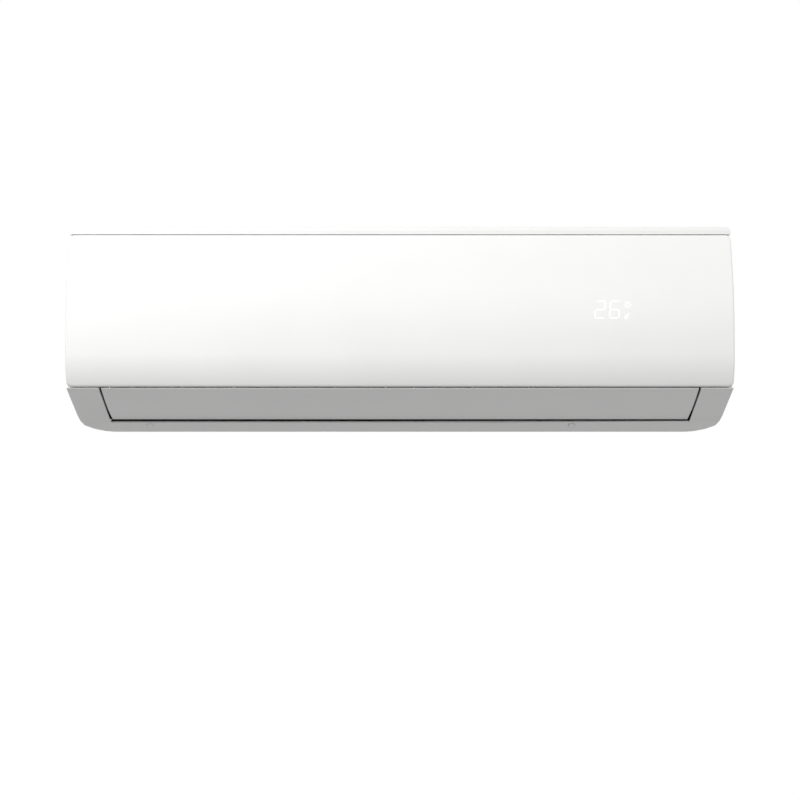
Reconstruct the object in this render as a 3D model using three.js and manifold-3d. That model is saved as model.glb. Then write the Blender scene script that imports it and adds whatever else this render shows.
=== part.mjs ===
// Indoor unit of a mini split air conditioner, in millimetres. +X is right as seen from the room,
// +Y goes into the wall and +Z is up. The origin lies on the mounting plate's back face,
// at the middle of the unit's width and height.
import * as THREE from "three";
import { mergeVertices } from "three/addons/utils/BufferGeometryUtils.js";
import Module from "manifold-3d";

const wasm = await Module();
wasm.setup();

// Driving dimensions.
const unit = { width: 800, height: 250, depth: 200 };
const gap = 0.4; // between pieces that touch
const shell = 2.5; // wall of every moulding
const half = unit.width / 2;
const top = unit.height / 2;
const bottom = -top;
const front = -unit.depth;

const casing = { split: -26, lowCorner: 20, topCorner: 5, noseRadius: 6, strip: 9.5,
  stripFront: front + 35.5,
  lipBack: 18, recessFoot: 20, ledge: 3, grilleBack: -37, grilleFront: front + 54, grilleHalf: 366 };
const panel = { top: top - 10.5, bottom: bottom + 57.5, bulgeZ: bottom + 95, topBack: 33, lowBack: 10,
  corner: 6, foot: 7, edge: 2.4, hingeDown: 3.4, hingeBack: 3.2, pin: 1.6, lug: 3, lugAt: 388 };
const vane = { rear: [front + 110, bottom + 16], front: [front + 11, bottom + 54], halfLength: 358.5,
  endGap: 3, thick: 3.5, edge: 1.4, crown: 2.5, pivotIn: 26, pivotUp: 10, pin: 3, arm: 3, pinReach: 6 };
const fan = { center: [-82, bottom + 121], radius: 44, inner: 33, blades: 12, bays: 4, disc: 2.5,
  thick: 1.8, endGap: 6, shaft: 4, hub: 14 };
const duct = { right: 222, throat: 6, spread: 12 };
const coil = { halfThick: 11, tube: 3.5, sheet: 1.2 };
const filter = { thick: 3, rim: 6, ahead: 13, low: bottom + 77, turn: top - 33, run: top - 18, rear: -58,
  middle: -68, between: 12, lean: 0.2, seat: 2, rib: 3 };
const blade = { perGang: 6, thick: 1.4, high: 30, from: 22, to: 58, pivot: 40, rodAt: 54, pin: 2,
  rodPin: 1.5, lift: 1.2, rod: 2, rodWidth: 6 };
const plate = { thick: 1.2, halfWidth: 300, low: bottom + 62, high: top - 30, standOff: 12 };
const motor = { radius: 42, from: 236, to: 300, boss: 12, clamp: 254, strap: 20 };
const display = { x: 254, z: bottom + 151, half: 27, high: 13, thick: 1.6 };
const button = { x: 300, z: bottom + 92, radius: 4 };
const screws = { at: [-313, 215], cap: 4.4, shank: 1.6 };
const boxHigh = top - 47;
const box = { left: 308, right: 392, low: bottom + 88, high: boxHigh, back: -60, shell: 2,
  front: front + filter.ahead + filter.seat + filter.lean * (boxHigh - filter.low) + shell + 3.3 };

// ---------- shapes ----------

// A closed three.js geometry as a manifold-3d solid.
function solid(geometry) {
  const plain = geometry.clone();
  for (const name of Object.keys(plain.attributes)) if (name !== "position") plain.deleteAttribute(name);
  const merged = mergeVertices(plain, 1e-4);
  return new wasm.Manifold(new wasm.Mesh({ numProp: 3, vertProperties: merged.attributes.position.array,
    triVerts: new Uint32Array(merged.index.array) }));
}

const join = (...pieces) => pieces.flat().reduce((sum, piece) => sum.add(piece));
const cut = (body, ...tools) => tools.flat().reduce((rest, tool) => rest.subtract(tool), body);

// Points [u, v] or [u, v, radius], where a radius rounds that corner with an arc.
function outline(points, steps = 4) {
  const path = [];
  points.forEach(([u, v, radius = 0], i) => {
    const here = new THREE.Vector2(u, v);
    if (!radius) return path.push(here);
    const to = (other) => new THREE.Vector2(other[0], other[1]).sub(here).normalize();
    const before = to(points.at(i - 1));
    const after = to(points[(i + 1) % points.length]);
    const halfAngle = Math.acos(before.dot(after)) / 2;
    const start = here.clone().addScaledVector(before, radius / Math.tan(halfAngle));
    const centre = here.clone().addScaledVector(before.clone().add(after).normalize(),
      radius / Math.sin(halfAngle));
    const from = start.clone().sub(centre);
    const turn = (Math.PI - 2 * halfAngle) * Math.sign(before.cross(after));
    for (let s = 0; s <= steps; s++)
      path.push(centre.clone().add(from.clone().rotateAround(new THREE.Vector2(), (-turn * s) / steps)));
  });
  return path;
}

function extrude(points, depth, basis, steps) {
  const shape = new THREE.Shape(outline(points, steps));
  const geometry = new THREE.ExtrudeGeometry(shape, { depth, bevelEnabled: false, steps: 1 });
  return solid(geometry.applyMatrix4(basis));
}

// A [y, z] outline carried along X, an [x, z] outline carried along Y, and an [x, y] outline carried up.
const alongX = (points, x0, x1, steps) =>
  extrude(points, x1 - x0, new THREE.Matrix4().set(0, 0, 1, x0, 1, 0, 0, 0, 0, 1, 0, 0, 0, 0, 0, 1), steps);
const alongY = (points, y0, y1, steps) =>
  extrude(points, y1 - y0, new THREE.Matrix4().set(1, 0, 0, 0, 0, 0, -1, y1, 0, 1, 0, 0, 0, 0, 0, 1),
    steps);
const alongZ = (points, z0, z1, steps) =>
  extrude(points, z1 - z0, new THREE.Matrix4().makeTranslation(0, 0, z0), steps);

const block = (x0, x1, y0, y1, z0, z1) =>
  solid(new THREE.BoxGeometry(x1 - x0, y1 - y0, z1 - z0).translate((x0 + x1) / 2, (y0 + y1) / 2,
    (z0 + z1) / 2));

// A round bar between two points.
function bar(from, to, radius, sides = 12, endRadius = radius) {
  const a = new THREE.Vector3(...from);
  const b = new THREE.Vector3(...to);
  const geometry = new THREE.CylinderGeometry(endRadius, radius, a.distanceTo(b), sides);
  const turn = new THREE.Quaternion().setFromUnitVectors(new THREE.Vector3(0, 1, 0),
    b.clone().sub(a).normalize());
  geometry.applyQuaternion(turn);
  return solid(geometry.translate(...a.add(b).multiplyScalar(0.5).toArray()));
}

// A tube along a curve, closed at both ends.
function tube(curve, radius, steps, sides = 8) {
  const section = new THREE.Shape(
    Array.from({ length: sides }, (_, i) => new THREE.Vector2(radius, 0).rotateAround(new THREE.Vector2(),
      (2 * Math.PI * i) / sides)));
  return solid(new THREE.ExtrudeGeometry(section, { steps, extrudePath: curve, bevelEnabled: false }));
}

// A closed outline with every edge moved inwards, or outwards where the distance is negative.
function inset(points, distance) {
  const path = outline(points);
  const sense = Math.sign(THREE.ShapeUtils.area(path));
  const normal = (a, b) => new THREE.Vector2(a.y - b.y, b.x - a.x).normalize();
  return path.map((here, i) => {
    const before = normal(path.at(i - 1), here);
    const after = normal(here, path[(i + 1) % path.length]);
    const shift = (sense * distance) / (1 + before.dot(after));
    return here.clone().addScaledVector(before.add(after), shift).toArray();
  });
}

// A strip of even thickness that follows [y, z] points, from `near` to `far` on its left side.
function ribbon(points, near, far) {
  const side = (distance) => points.map(([y, z], i) => {
    const [y0, z0] = points[Math.max(i - 1, 0)];
    const [y1, z1] = points[Math.min(i + 1, points.length - 1)];
    const length = Math.hypot(y1 - y0, z1 - z0);
    return [y - ((z1 - z0) / length) * distance, z + ((y1 - y0) / length) * distance];
  });
  return [...side(near), ...side(far).reverse()];
}

const spread = (from, to, count) => Array.from({ length: count },
  (_, i) => from + ((to - from) * i) / (count - 1));
const mix = (a, b, t) => a + (b - a) * t;
const along = (from, to, t) => [mix(from[0], to[0], t), mix(from[1], to[1], t)];

// ---------- model ----------

const model = new THREE.Group();
const finish = {
  whiteGloss: { color: 0xf4f4f3, roughness: 0.2 },
  whiteSatin: { color: 0xe6e6e4, roughness: 0.45 },
  greyMoulding: { color: 0xc9cbcc, roughness: 0.6 },
  darkMoulding: { color: 0x2b2e30, roughness: 0.6 },
  steel: { color: 0xa9adb0, roughness: 0.4, metalness: 0.9 },
  copper: { color: 0xb87049, roughness: 0.35, metalness: 1 },
  brass: { color: 0xc2a25a, roughness: 0.35, metalness: 1 },
  finStock: { color: 0xb9c4cc, roughness: 0.4, metalness: 0.9 },
  board: { color: 0x2f6b46, roughness: 0.5 },
  smoked: { color: 0xdfe3e6, roughness: 0.15 },
};

function add(name, body, material) {
  const { numProp, vertProperties, triVerts } = body.getMesh();
  const positions = new Float32Array((vertProperties.length / numProp) * 3);
  for (let i = 0; i < positions.length / 3; i++)
    positions.set(vertProperties.subarray(i * numProp, i * numProp + 3), i * 3);
  const geometry = new THREE.BufferGeometry()
    .setAttribute("position", new THREE.BufferAttribute(positions, 3))
    .setIndex(new THREE.BufferAttribute(triVerts, 1));
  geometry.computeVertexNormals();
  const mesh = new THREE.Mesh(geometry, new THREE.MeshStandardMaterial(finish[material]));
  mesh.name = name;
  model.add(mesh);
}

// The panel's outer face: full depth at bulgeZ, falling back along a soft power curve above and below it.
function faceY(z) {
  if (z > panel.bulgeZ)
    return front + panel.topBack * ((z - panel.bulgeZ) / (panel.top - panel.bulgeZ)) ** 2.2;
  return front + panel.lowBack * ((panel.bulgeZ - z) / (panel.bulgeZ - panel.bottom)) ** 2;
}
const hinge = [faceY(panel.top) + panel.hingeBack, panel.top - panel.hingeDown];
const facePoints = spread(panel.bottom, panel.top, 13).map((z) => [faceY(z), z]);

// The filters' path: up the front behind the panel, round a bend and back under the top grille.
const filterY = (z) => front + filter.ahead + filter.lean * (z - filter.low);
const filterLow = [filterY(filter.low), filter.low];
const bend = new THREE.QuadraticBezierCurve(
  new THREE.Vector2(filterY(filter.turn), filter.turn),
  new THREE.Vector2(filterY(filter.run), filter.run),
  new THREE.Vector2(filterY(filter.turn) + 28, filter.run));
const filterPath = [filterLow, ...bend.getPoints(5).map((p) => [p.x, p.y]), [filter.rear, filter.run]];

// The scroll: its radius about the fan grows towards the outlet, then runs straight to the lip.
const [fanY, fanZ] = fan.center;
const scrollStart = 40;
const scrollEnd = -37;
const scroll = spread(scrollStart, scrollEnd, 8).map((degrees) => {
  const grown = duct.spread * ((scrollStart - degrees) / (scrollStart - scrollEnd));
  const radius = fan.radius + duct.throat + grown;
  const angle = THREE.MathUtils.degToRad(degrees);
  return [fanY + radius * Math.cos(angle), fanZ + radius * Math.sin(angle)];
});
const lipTop = [vane.rear[0] + 2, vane.rear[1] - 2];
const scrollOut = scroll.at(-1);
const floorSlope = new THREE.Vector2(lipTop[0] - scrollOut[0], lipTop[1] - scrollOut[1]);
const floorLength = floorSlope.length();
floorSlope.normalize();
// A point of the duct by its distance down the floor and its height above it.
const onFloor = (s, height) => [
  scrollOut[0] + floorSlope.x * s + floorSlope.y * height,
  scrollOut[1] + floorSlope.y * s - floorSlope.x * height,
];

// The vane's frame: u runs from its rear edge to its front edge and n into the unit.
const vaneU = new THREE.Vector2(vane.front[0] - vane.rear[0], vane.front[1] - vane.rear[1]);
const vaneLength = vaneU.length();
vaneU.normalize();
const onVane = (s, height) => [
  vane.rear[0] + vaneU.x * s + vaneU.y * height,
  vane.rear[1] + vaneU.y * s - vaneU.x * height,
];
const vanePivot = onVane(vane.pivotIn, vane.pivotUp);

// The upper wall of the outlet, from the tongue beside the fan to the vane's front edge.
const tongue = (degrees, radius) => {
  const angle = THREE.MathUtils.degToRad(degrees);
  return [fanY + radius * Math.cos(angle), fanZ + radius * Math.sin(angle)];
};
const tongueTip = tongue(215, fan.radius + 5.5);
const roofBack = [tongueTip[0] - 6, tongueTip[1] - 9.5];
const roofFront = [vane.front[0] + 4, vane.front[1] + 7];
const side = vane.halfLength + vane.endGap; // inner face of the cheeks and of the outlet's end walls
const stripLow = top - casing.strip;
const crossX = [-side, duct.right]; // the fan's chamber along X
const upright = (x, z, lowRadius, highRadius) => // the unit's outline from the room
  [[-x, bottom + z, lowRadius], [x, bottom + z, lowRadius], [x, top - z, highRadius],
    [-x, top - z, highRadius]];
const roundedBody = (distance, y0, y1) => alongY(upright(half - distance, distance,
  casing.lowCorner - distance, casing.topCorner - distance), y0, y1, 5);

// Where a filter lies along X, left and right.
const filterSpans = [
  [-side + filter.rim, filter.middle - filter.between / 2],
  [filter.middle + filter.between / 2, duct.right - filter.rim],
];

// Front frame: top strip, side walls, cheeks and lip in one moulding, with the filters' rib grid.
const recessY = (z) => filterY(z) + filter.seat;
const recessBack = front + casing.recessFoot;
const frameProfile = [
  [casing.split, top],
  [casing.stripFront, top, casing.noseRadius],
  [casing.stripFront, stripLow],
  [recessY(stripLow), stripLow],
  [recessY(filter.low - 2), filter.low - 2],
  [recessBack, filter.low - 10],
  [recessBack, panel.bottom - 1.2],
  [vane.front[0], panel.bottom - 1.2],
  vane.front,
  lipTop,
  [lipTop[0] + casing.lipBack, bottom, 8],
  [casing.split, bottom],
];

// The same outline without its nose over the cheeks, which stays solid.
const nose = frameProfile.indexOf(vane.front);
const coreProfile = frameProfile.toSpliced(nose - 2, 3,
  along(vane.front, lipTop, (recessBack - vane.front[0]) / (lipTop[0] - vane.front[0])));

function frontFrame() {
  const outer = alongX(frameProfile, -half, half).intersect(roundedBody(0, front, 0));
  const inner = alongX(inset(coreProfile, shell), -half, half).intersect(roundedBody(shell, front, 0));
  const openBack = roundedBody(shell, casing.split - 2 * shell, 0);
  const outlet = alongX([onVane(-3, 9), onVane(-3, -9), onVane(vaneLength + 9, -9),
    onVane(vaneLength + 9, 9)], -side, side);
  const windows = filterSpans.flatMap(([x0, x1]) => [
    block(x0 + filter.rim, x1 - filter.rim, front, -130, filter.low + 8, stripLow - 0.8),
    block(x0 - 1, x1 + 1, front, -130, filter.turn - 6, stripLow - 0.8),
  ]);
  const topOpening = block(-casing.grilleHalf, casing.grilleHalf, casing.grilleFront, casing.grilleBack,
    top - 8, top + 1);
  const carcass = cut(outer, inner, openBack, outlet, ...windows, topOpening);

  const ribPath = [...filterPath, [casing.grilleBack + 2, filter.run]];
  const ribOutline = ribbon(ribPath, -filter.seat, -filter.seat - filter.rib);
  const ribs = filterSpans.flatMap(([x0, x1]) =>
    spread(x0 + filter.rim, x1 - filter.rim, 3).map((x) => alongX(ribOutline, x - 1.5, x + 1.5)));
  const crossBars = [0.25, 0.5, 0.75].map((t) => {
    const z = mix(filter.low, filter.turn, t);
    const ends = [filterSpans[0][0] + 4, filterSpans[1][1] - 4];
    return block(...ends, filterY(z) + filter.seat + 0.6, filterY(z) + filter.seat + 3.4, z - 1.4, z + 1.4);
  });
  const hanger = block(-side + 8, duct.right - 4, casing.grilleBack, casing.grilleBack + 3, filter.run - 7,
    top - 1);
  const { grilleHalf, grilleFront, grilleBack, ledge } = casing;
  const ledgeOutline = [[-grilleHalf - 1, grilleFront - 1], [grilleHalf + 1, grilleFront - 1],
    [grilleHalf + 1, grilleBack + 1], [-grilleHalf - 1, grilleBack + 1]];
  const ledgeRing = cut(alongZ(ledgeOutline, top - 6, top - 4),
    alongZ(inset(ledgeOutline, ledge + 1), top - 7, top));
  const lugs = [-1, 1].map((hand) => {
    const x = hand * panel.lugAt;
    const seat = bar([x - 9, ...hinge], [x + 9, ...hinge], panel.pin + gap);
    return cut(alongX([[hinge[0], hinge[1] - 6], [hinge[0], hinge[1]], [hinge[0] + 4, hinge[1] + 2],
      [recessY(hinge[1]) + 1, hinge[1] + 2], [recessY(hinge[1]) + 1, hinge[1] - 8]],
    x - panel.lug / 2, x + panel.lug / 2), seat);
  });
  const displayWindow = block(display.x - display.half, display.x + display.half, front, -130,
    display.z - display.high, display.z + display.high);
  const buttonHole = bar([button.x, recessY(button.z) - 9, button.z], [button.x, -150, button.z],
    button.radius + gap);
  return cut(join(carcass, ribs, crossBars, hanger, ledgeRing, lugs), displayWindow, buttonHole,
    ...capHoles());
}

// Screw covers along the lip, with the screws that hold the frame behind them.
const lipMiddle = [lipTop[0] + casing.lipBack * 0.42, mix(lipTop[1], bottom, 0.42)];
const lipOut = new THREE.Vector2(bottom - lipTop[1], -casing.lipBack).normalize();
const fromLip = (x, depth) => [x, lipMiddle[0] - lipOut.x * depth, lipMiddle[1] - lipOut.y * depth];
const capHoles = () => screws.at.map((x) => bar(fromLip(x, -8), fromLip(x, shell + 4),
  screws.cap + gap / 2));

// Front panel: a shell with its rim turned back to the frame, hung on two pins at its top corners.
function frontPanel() {
  const backLine = [filter.low - 2, stripLow - 6].map((z) => [recessY(z) - gap, z]);
  const face = facePoints.map(([y, z], i) => (i % (facePoints.length - 1) ? [y, z] : [y, z, panel.edge]));
  const rim = alongX([...face, [recessY(panel.top) - gap - 3, panel.top, 3], backLine[1], backLine[0],
    [recessBack - gap, filter.low - 10.6], [recessBack - gap, panel.bottom]], -half, half);
  const corners = alongY([[-half, panel.bottom, panel.corner], [half, panel.bottom, panel.corner],
    [half, panel.top, panel.corner], [-half, panel.top, panel.corner]], front, -140, 4);
  const plan = alongZ([[-half, front, panel.corner], [half, front, panel.corner], [half, -140],
    [-half, -140]], bottom, top, 4);
  const insideFace = spread(panel.bottom + shell, panel.top - shell, 13).map((z) => [faceY(z) + shell, z]);
  const foot = faceY(panel.bottom) + panel.foot;
  const head = faceY(panel.top) + panel.foot - 1;
  const hollow = alongX([...insideFace, [head, panel.top - shell], [head, top], [-140, top], [-140, bottom],
    [foot, bottom], [foot, panel.bottom + shell]], -half + shell, half - shell);
  const pins = [-1, 1].map((hand) => bar([hand * (half - 1.5), ...hinge],
    [hand * (panel.lugAt - panel.lug), ...hinge], panel.pin));
  const lugRoom = [-1, 1].map((hand) => block(hand * panel.lugAt - 5, hand * panel.lugAt + 5,
    faceY(panel.top) + shell + 0.4, -140, panel.top - shell - 8, panel.top + 1));
  return join(cut(rim.intersect(corners).intersect(plan), hollow, ...lugRoom), pins);
}

// Top grille: long slots between bars, seated on the frame's ledge.
function intakeGrille() {
  const { grilleHalf, grilleFront, grilleBack } = casing;
  const y0 = grilleFront + gap;
  const y1 = grilleBack - gap;
  const sheet = block(-grilleHalf + gap, grilleHalf - gap, y0, y1, top - 3.6, top - 0.2);
  const rows = spread(y0 + 9, y1 - 9, 6);
  const bays = spread(-grilleHalf + 6, grilleHalf - 6, 11);
  const slots = bays.slice(1).flatMap((x1, i) =>
    rows.map((y) => block(bays[i] + 2.5, x1 - 2.5, y - 7, y + 7, top - 8, top + 2)));
  return cut(sheet, ...slots);
}

// Rear chassis: rim, back wall with hook slots, scroll, outlet floor, chamber ends and motor saddle.
const wallY = -plate.standOff; // back face of the chassis wall
const hooks = { at: [-220, 0, 220], width: 24, z: top - 47, rise: 10, thick: plate.thick };
const clips = { at: [-150, 150], z: plate.low + 6, width: 16 };
const chamberFoot = floorLength * 0.55; // the ends stop short of the vane's rear edge as it swings
function chamberEnd() {
  const inWall = scroll.slice(2).map((p) => along(fan.center, p, 1 + 0.5 * shell / fan.radius)).reverse();
  return [
    [wallY - 1, scroll[0][1] + 0.5], [scroll[0][0], scroll[0][1] + 2], [fanY + 14, fanZ + fan.radius + 10],
    [fanY - 12, fanZ + fan.radius + 12], [fanY - fan.radius + 2, fanZ + 34],
    [fanY - fan.radius - 6, fanZ + 6], [tongueTip[0] - 2, tongueTip[1] + 9],
      [tongueTip[0] + 4, tongueTip[1] - 4],
    onFloor(chamberFoot, 22), onFloor(chamberFoot, -1.2), ...inWall, [wallY - 1, inWall.at(-1)[1]],
  ];
}

function rearChassis() {
  const rim = cut(roundedBody(0, casing.split + gap, -0.6), roundedBody(shell, casing.split - 1, 1));
  const wallLow = bottom + 60;
  const wall = block(-half + 1, half - 1, wallY - shell, wallY, wallLow, top - 1);
  const [floorStart, floorStop] = [onFloor(floorLength * 0.3, 0), onFloor(floorLength - 4, 0)];
  const scrollWall = alongX(ribbon([...scroll, floorStart, floorStop], 0, shell), crossX[0] - shell,
    crossX[1] + shell);
  const floorEnd = alongX(ribbon([floorStart, floorStop], 0, shell), crossX[1], side + shell);
  const shelf = block(crossX[0], crossX[1] + shell, scroll[0][0] - 1, wallY - 1, scroll[0][1] - 1,
    scroll[0][1] + 1.5);
  const outlineEnd = chamberEnd();
  const leftEnd = alongX(outlineEnd, crossX[0] - shell, crossX[0]);
  const rightEnd = alongX(outlineEnd, crossX[1], crossX[1] + shell);
  const bearingSeat = cut(bar([crossX[0] - 11, fanY, fanZ], [crossX[0] - 1, fanY, fanZ], 15, 20),
    bar([crossX[0] - 12, fanY, fanZ], [crossX[0], fanY, fanZ], 11 + gap, 20));
  const saddleFront = fanY - motor.radius - 8;
  const saddles = [motor.clamp + 2, motor.clamp + motor.strap - 2].map((x) => cut(
    alongX([[wallY - 1, fanZ - 48], [fanY - 10, fanZ - 48], [saddleFront + 3, fanZ - 26],
      [saddleFront, fanZ], [wallY - 1, fanZ]], x - 1.5, x + 1.5),
    bar([x - 3, fanY, fanZ], [x + 3, fanY, fanZ], motor.radius + gap, 32)));
  const lowWall = block(crossX[1], half - 1, wallY - shell, wallY, bottom + 52, wallLow + 1);
  const boxPosts = [box.low + 20, box.high - 20].map((z) =>
    block(box.left + 20, box.left + 30, box.back - gap + 1, wallY - 1, z - 4, z + 4));
  const behind = join(rim, wall, scrollWall, floorEnd, shelf, leftEnd, rightEnd, bearingSeat, saddles,
    lowWall, boxPosts.map((post) => cut(post, block(0, half, -200, box.back + gap, bottom, top))));
  const shaftHole = bar([crossX[1] - 1, fanY, fanZ], [crossX[1] + shell + 1, fanY, fanZ], motor.boss + 2,
    20);
  const bearingHole = bar([crossX[0] - 4, fanY, fanZ], [crossX[0] + 1, fanY, fanZ], 8, 16);
  const hookSlots = hooks.at.map((x) => block(x - hooks.width / 2 - 1, x + hooks.width / 2 + 1,
    wallY - 4, wallY + 1, hooks.z - 2, hooks.z + hooks.thick + gap));
  const clipSlots = clips.at.map((x) => block(x - clips.width / 2 - 1, x + clips.width / 2 + 1,
    wallY - 4, wallY + 1, clips.z - gap, clips.z + hooks.thick + gap));
  const bladeHoles = bladeX.map((x) => bar([x, ...onFloor(blade.pivot, 1)],
    [x, ...onFloor(blade.pivot, -shell - 2)], blade.pin + gap, 8));
  return cut(behind, shaftHole, bearingHole, ...hookSlots, ...clipSlots, ...bladeHoles);
}

// Mounting plate: pressed steel with a raised middle, screw holes, hooks at the top and clips at the foot.
function mountingPlate() {
  const { thick, halfWidth, low, high } = plate;
  const sheet = alongY([[-halfWidth, low, 8], [halfWidth, low, 8], [halfWidth, high, 8],
    [-halfWidth, high, 8]], -thick, 0, 3);
  const flanges = [low + 0.1, high - thick - 0.1].map((z) =>
    block(-halfWidth + 12, halfWidth - 12, -6, -thick + 0.2, z, z + thick));
  const holes = spread(-halfWidth + 20, halfWidth - 20, 7).flatMap((x) =>
    [low + 14, high - 14].map((z) => bar([x, -thick - 1, z], [x, 1, z], 2.6, 8)));
  const windows = [-250, -110, 110, 250].map((x) =>
    alongY([[x - 32, -12, 6], [x + 32, -12, 6], [x + 32, 30, 6], [x - 32, 30, 6]], -thick - 1, 1, 2));
  const hook = hooks.at.map((x) => {
    const span = [x - hooks.width / 2, x + hooks.width / 2];
    const reach = wallY - shell - gap - hooks.thick;
    return join(block(...span, reach, -thick + 0.2, hooks.z, hooks.z + hooks.thick - 0.2),
      block(...span, reach, reach + hooks.thick, hooks.z, hooks.z + hooks.rise));
  });
  const clip = clips.at.map((x) => block(x - clips.width / 2, x + clips.width / 2, wallY - shell - 2,
    -thick + 0.2, clips.z, clips.z + hooks.thick));
  return cut(join(sheet, flanges, hook, clip), ...holes, ...windows);
}

// Outlet moulding: drip tray, tongue, upper duct wall, end walls with the vane's bearings, drain spouts.
const trayFront = recessBack + shell + gap;
const floorAt = (y) => mix(roofBack[1], roofFront[1], (y - roofBack[0]) / (roofFront[0] - roofBack[0]));
const drain = { radius: 6, bore: 4.4, reach: 24, back: 15, up: 9.5 };
const drainAt = [trayFront + drain.back, floorAt(trayFront + drain.back) + drain.up];
function outletDuct() {
  const wall = 3;
  const section = [
    tongueTip, [tongueTip[0] - 1.5, tongueTip[1] + 5], [tongueTip[0] - 8, tongueTip[1] + 6],
    [tongueTip[0] - 26, floorAt(tongueTip[0] - 26) + 9],
      [tongueTip[0] - 30, floorAt(tongueTip[0] - 30) + wall],
    [trayFront + wall, floorAt(trayFront + wall) + wall], [trayFront + wall, floorAt(trayFront) + 15],
    [trayFront, floorAt(trayFront) + 15], [trayFront, floorAt(trayFront)], roofBack,
  ];
  const tray = alongX(section, -side - shell, crossX[1] + shell);
  const roof = alongX([roofBack, [roofBack[0], roofBack[1] + wall], [trayFront, floorAt(trayFront) + wall],
    [trayFront, floorAt(trayFront)]], crossX[1], side + shell);
  const [coilFoot] = coilEnds.evaporator_front_lower;
  const rests = [crossX[0] + 60, mix(...crossX, 0.5), crossX[1] - 60].map((x) =>
    block(x - 3, x + 3, coilFoot[0] - 2, coilFoot[0] + 10, floorAt(coilFoot[0]) + 1, coilFoot[1] - 2.6));
  const trayEnd = [[trayFront + 1, floorAt(trayFront) + 14], [trayFront + 1, floorAt(trayFront) + 1],
    [tongueTip[0] - 28, floorAt(tongueTip[0] - 28) + 1],
      [tongueTip[0] - 26, floorAt(tongueTip[0] - 26) + 8.5]];
  const trayEnds = [-side - shell + 0.1, crossX[1]].map((x) => alongX(trayEnd, x, x + shell - 0.1));
  const ends = [-side - shell + 0.1, side - 0.1].map((x) =>
    alongX([roofBack, [trayFront, floorAt(trayFront) + 1], [trayFront, panel.bottom - 4],
      onVane(vaneLength - 14, shell + 1.2), onVane(vane.pivotIn - 6, shell + 1.2),
        onVane(vane.pivotIn - 14, 9),
      onFloor(floorLength * 0.74, 22)].map(([y, z], i) => (i ? [y, z] : [y, z + 1])), x, x + shell));
  const blank = alongX(ribbon([[roofBack[0] - 2, roofBack[1] + 0.5], onFloor(floorLength * 0.62, gap)], 0,
    shell), crossX[1] + shell + gap, side + 0.1);
  const bracket = alongX([[vanePivot[0] - 26, floorAt(vanePivot[0] - 26) + 1],
    [vanePivot[0] - 12, floorAt(vanePivot[0] - 12) + 1], [vanePivot[0] + 5.5, vanePivot[1] + 2, 3],
    [vanePivot[0] + 2, vanePivot[1] - 5.5, 3], [vanePivot[0] - 7, vanePivot[1] - 2]], -2, 2);
  const bearings = [-side - shell - 1, -3, side - 1].map((x) =>
    bar([x, ...vanePivot], [x + shell + 4, ...vanePivot], vane.pin + gap, 14));
  const spout = bar([crossX[1] + shell - 0.5, ...drainAt], [crossX[1] + drain.reach, ...drainAt],
    drain.radius, 16);
  const bore = bar([crossX[1] - 1, ...drainAt], [crossX[1] + drain.reach + 1, ...drainAt], drain.bore, 16);
  const plugHole = bar([-side - shell - 1, ...drainAt], [-side + 2, ...drainAt], drain.bore, 16);
  return cut(join(tray, roof, rests, trayEnds, ends, blank, bracket, spout), bore, plugHole, ...bearings);
}
const drainPlug = () => join(
  bar([-side - shell - gap - 3, ...drainAt], [-side - shell - gap, ...drainAt], drain.radius, 16),
  bar([-side - shell - gap - 1, ...drainAt], [-side + 1, ...drainAt], drain.bore - gap, 16));

// Evaporator: three fin blocks round the fan, each a band of even thickness between two [y, z] ends.
const coilEnds = {
  evaporator_front_lower: [[filterY(filter.low + 4) + coil.halfThick + 13.5, filter.low + 5],
    [filterY(fanZ + 42) + coil.halfThick + 13.5, fanZ + 42]],
  evaporator_front_upper: [[filterY(fanZ + 42) + coil.halfThick + 17, fanZ + 50],
    [fanY - coil.halfThick - 10, top - coil.halfThick - 22]],
  evaporator_rear: [[fanY + coil.halfThick - 15, top - coil.halfThick - 21],
    [wallY - coil.halfThick - 1.7, fanZ + coil.halfThick + 31.5]],
};
const coilLeft = crossX[0] + 1;
const coilRight = crossX[1] - 1;
const band = ([from, to], grow = 0) => {
  const [dy, dz] = [to[0] - from[0], to[1] - from[1]];
  const length = Math.hypot(dy, dz);
  const [ny, nz] = [(-dz / length) * (coil.halfThick + grow), (dy / length) * (coil.halfThick + grow)];
  return [[from[0] + ny, from[1] + nz], [from[0] - ny, from[1] - nz], [to[0] - ny, to[1] - nz],
    [to[0] + ny, to[1] + nz]];
};

// One tube sheet a block, with the hairpin bends that join neighbouring tubes, on one side of the coil.
function coilBends(x, hand) {
  const sheets = Object.values(coilEnds).map((ends) =>
    alongX(band(ends, -0.6), Math.min(x, x + hand * coil.sheet), Math.max(x, x + hand * coil.sheet)));
  const loops = Object.entries(coilEnds).flatMap(([name, ends]) => {
    const piped = hand > 0 && name === "evaporator_rear"; // the pipes leave here, in place of some bends
    return spread(0.14, piped ? 0.5 : 0.86, piped ? 2 : 3).map((t, i) => {
      const middle = along(...ends, t);
      const direction = new THREE.Vector3(0, ends[1][0] - ends[0][0], ends[1][1] - ends[0][1]).normalize();
      const across = new THREE.Vector3(0, -direction.z, direction.y);
      const centre = new THREE.Vector3(x + hand * coil.sheet * 0.5, ...middle)
        .addScaledVector(across, 0.45 * coil.halfThick * (i % 2 ? 1 : -1));
      const a = centre.clone().addScaledVector(direction, -7);
      const b = centre.clone().addScaledVector(direction, 7);
      const out = new THREE.Vector3(hand * 11, 0, 0);
      return tube(new THREE.CubicBezierCurve3(a, a.clone().addScaledVector(out, 1.25),
        b.clone().addScaledVector(out, 1.25), b), coil.tube, 4, 5);
    });
  });
  return { sheets, loops };
}
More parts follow.
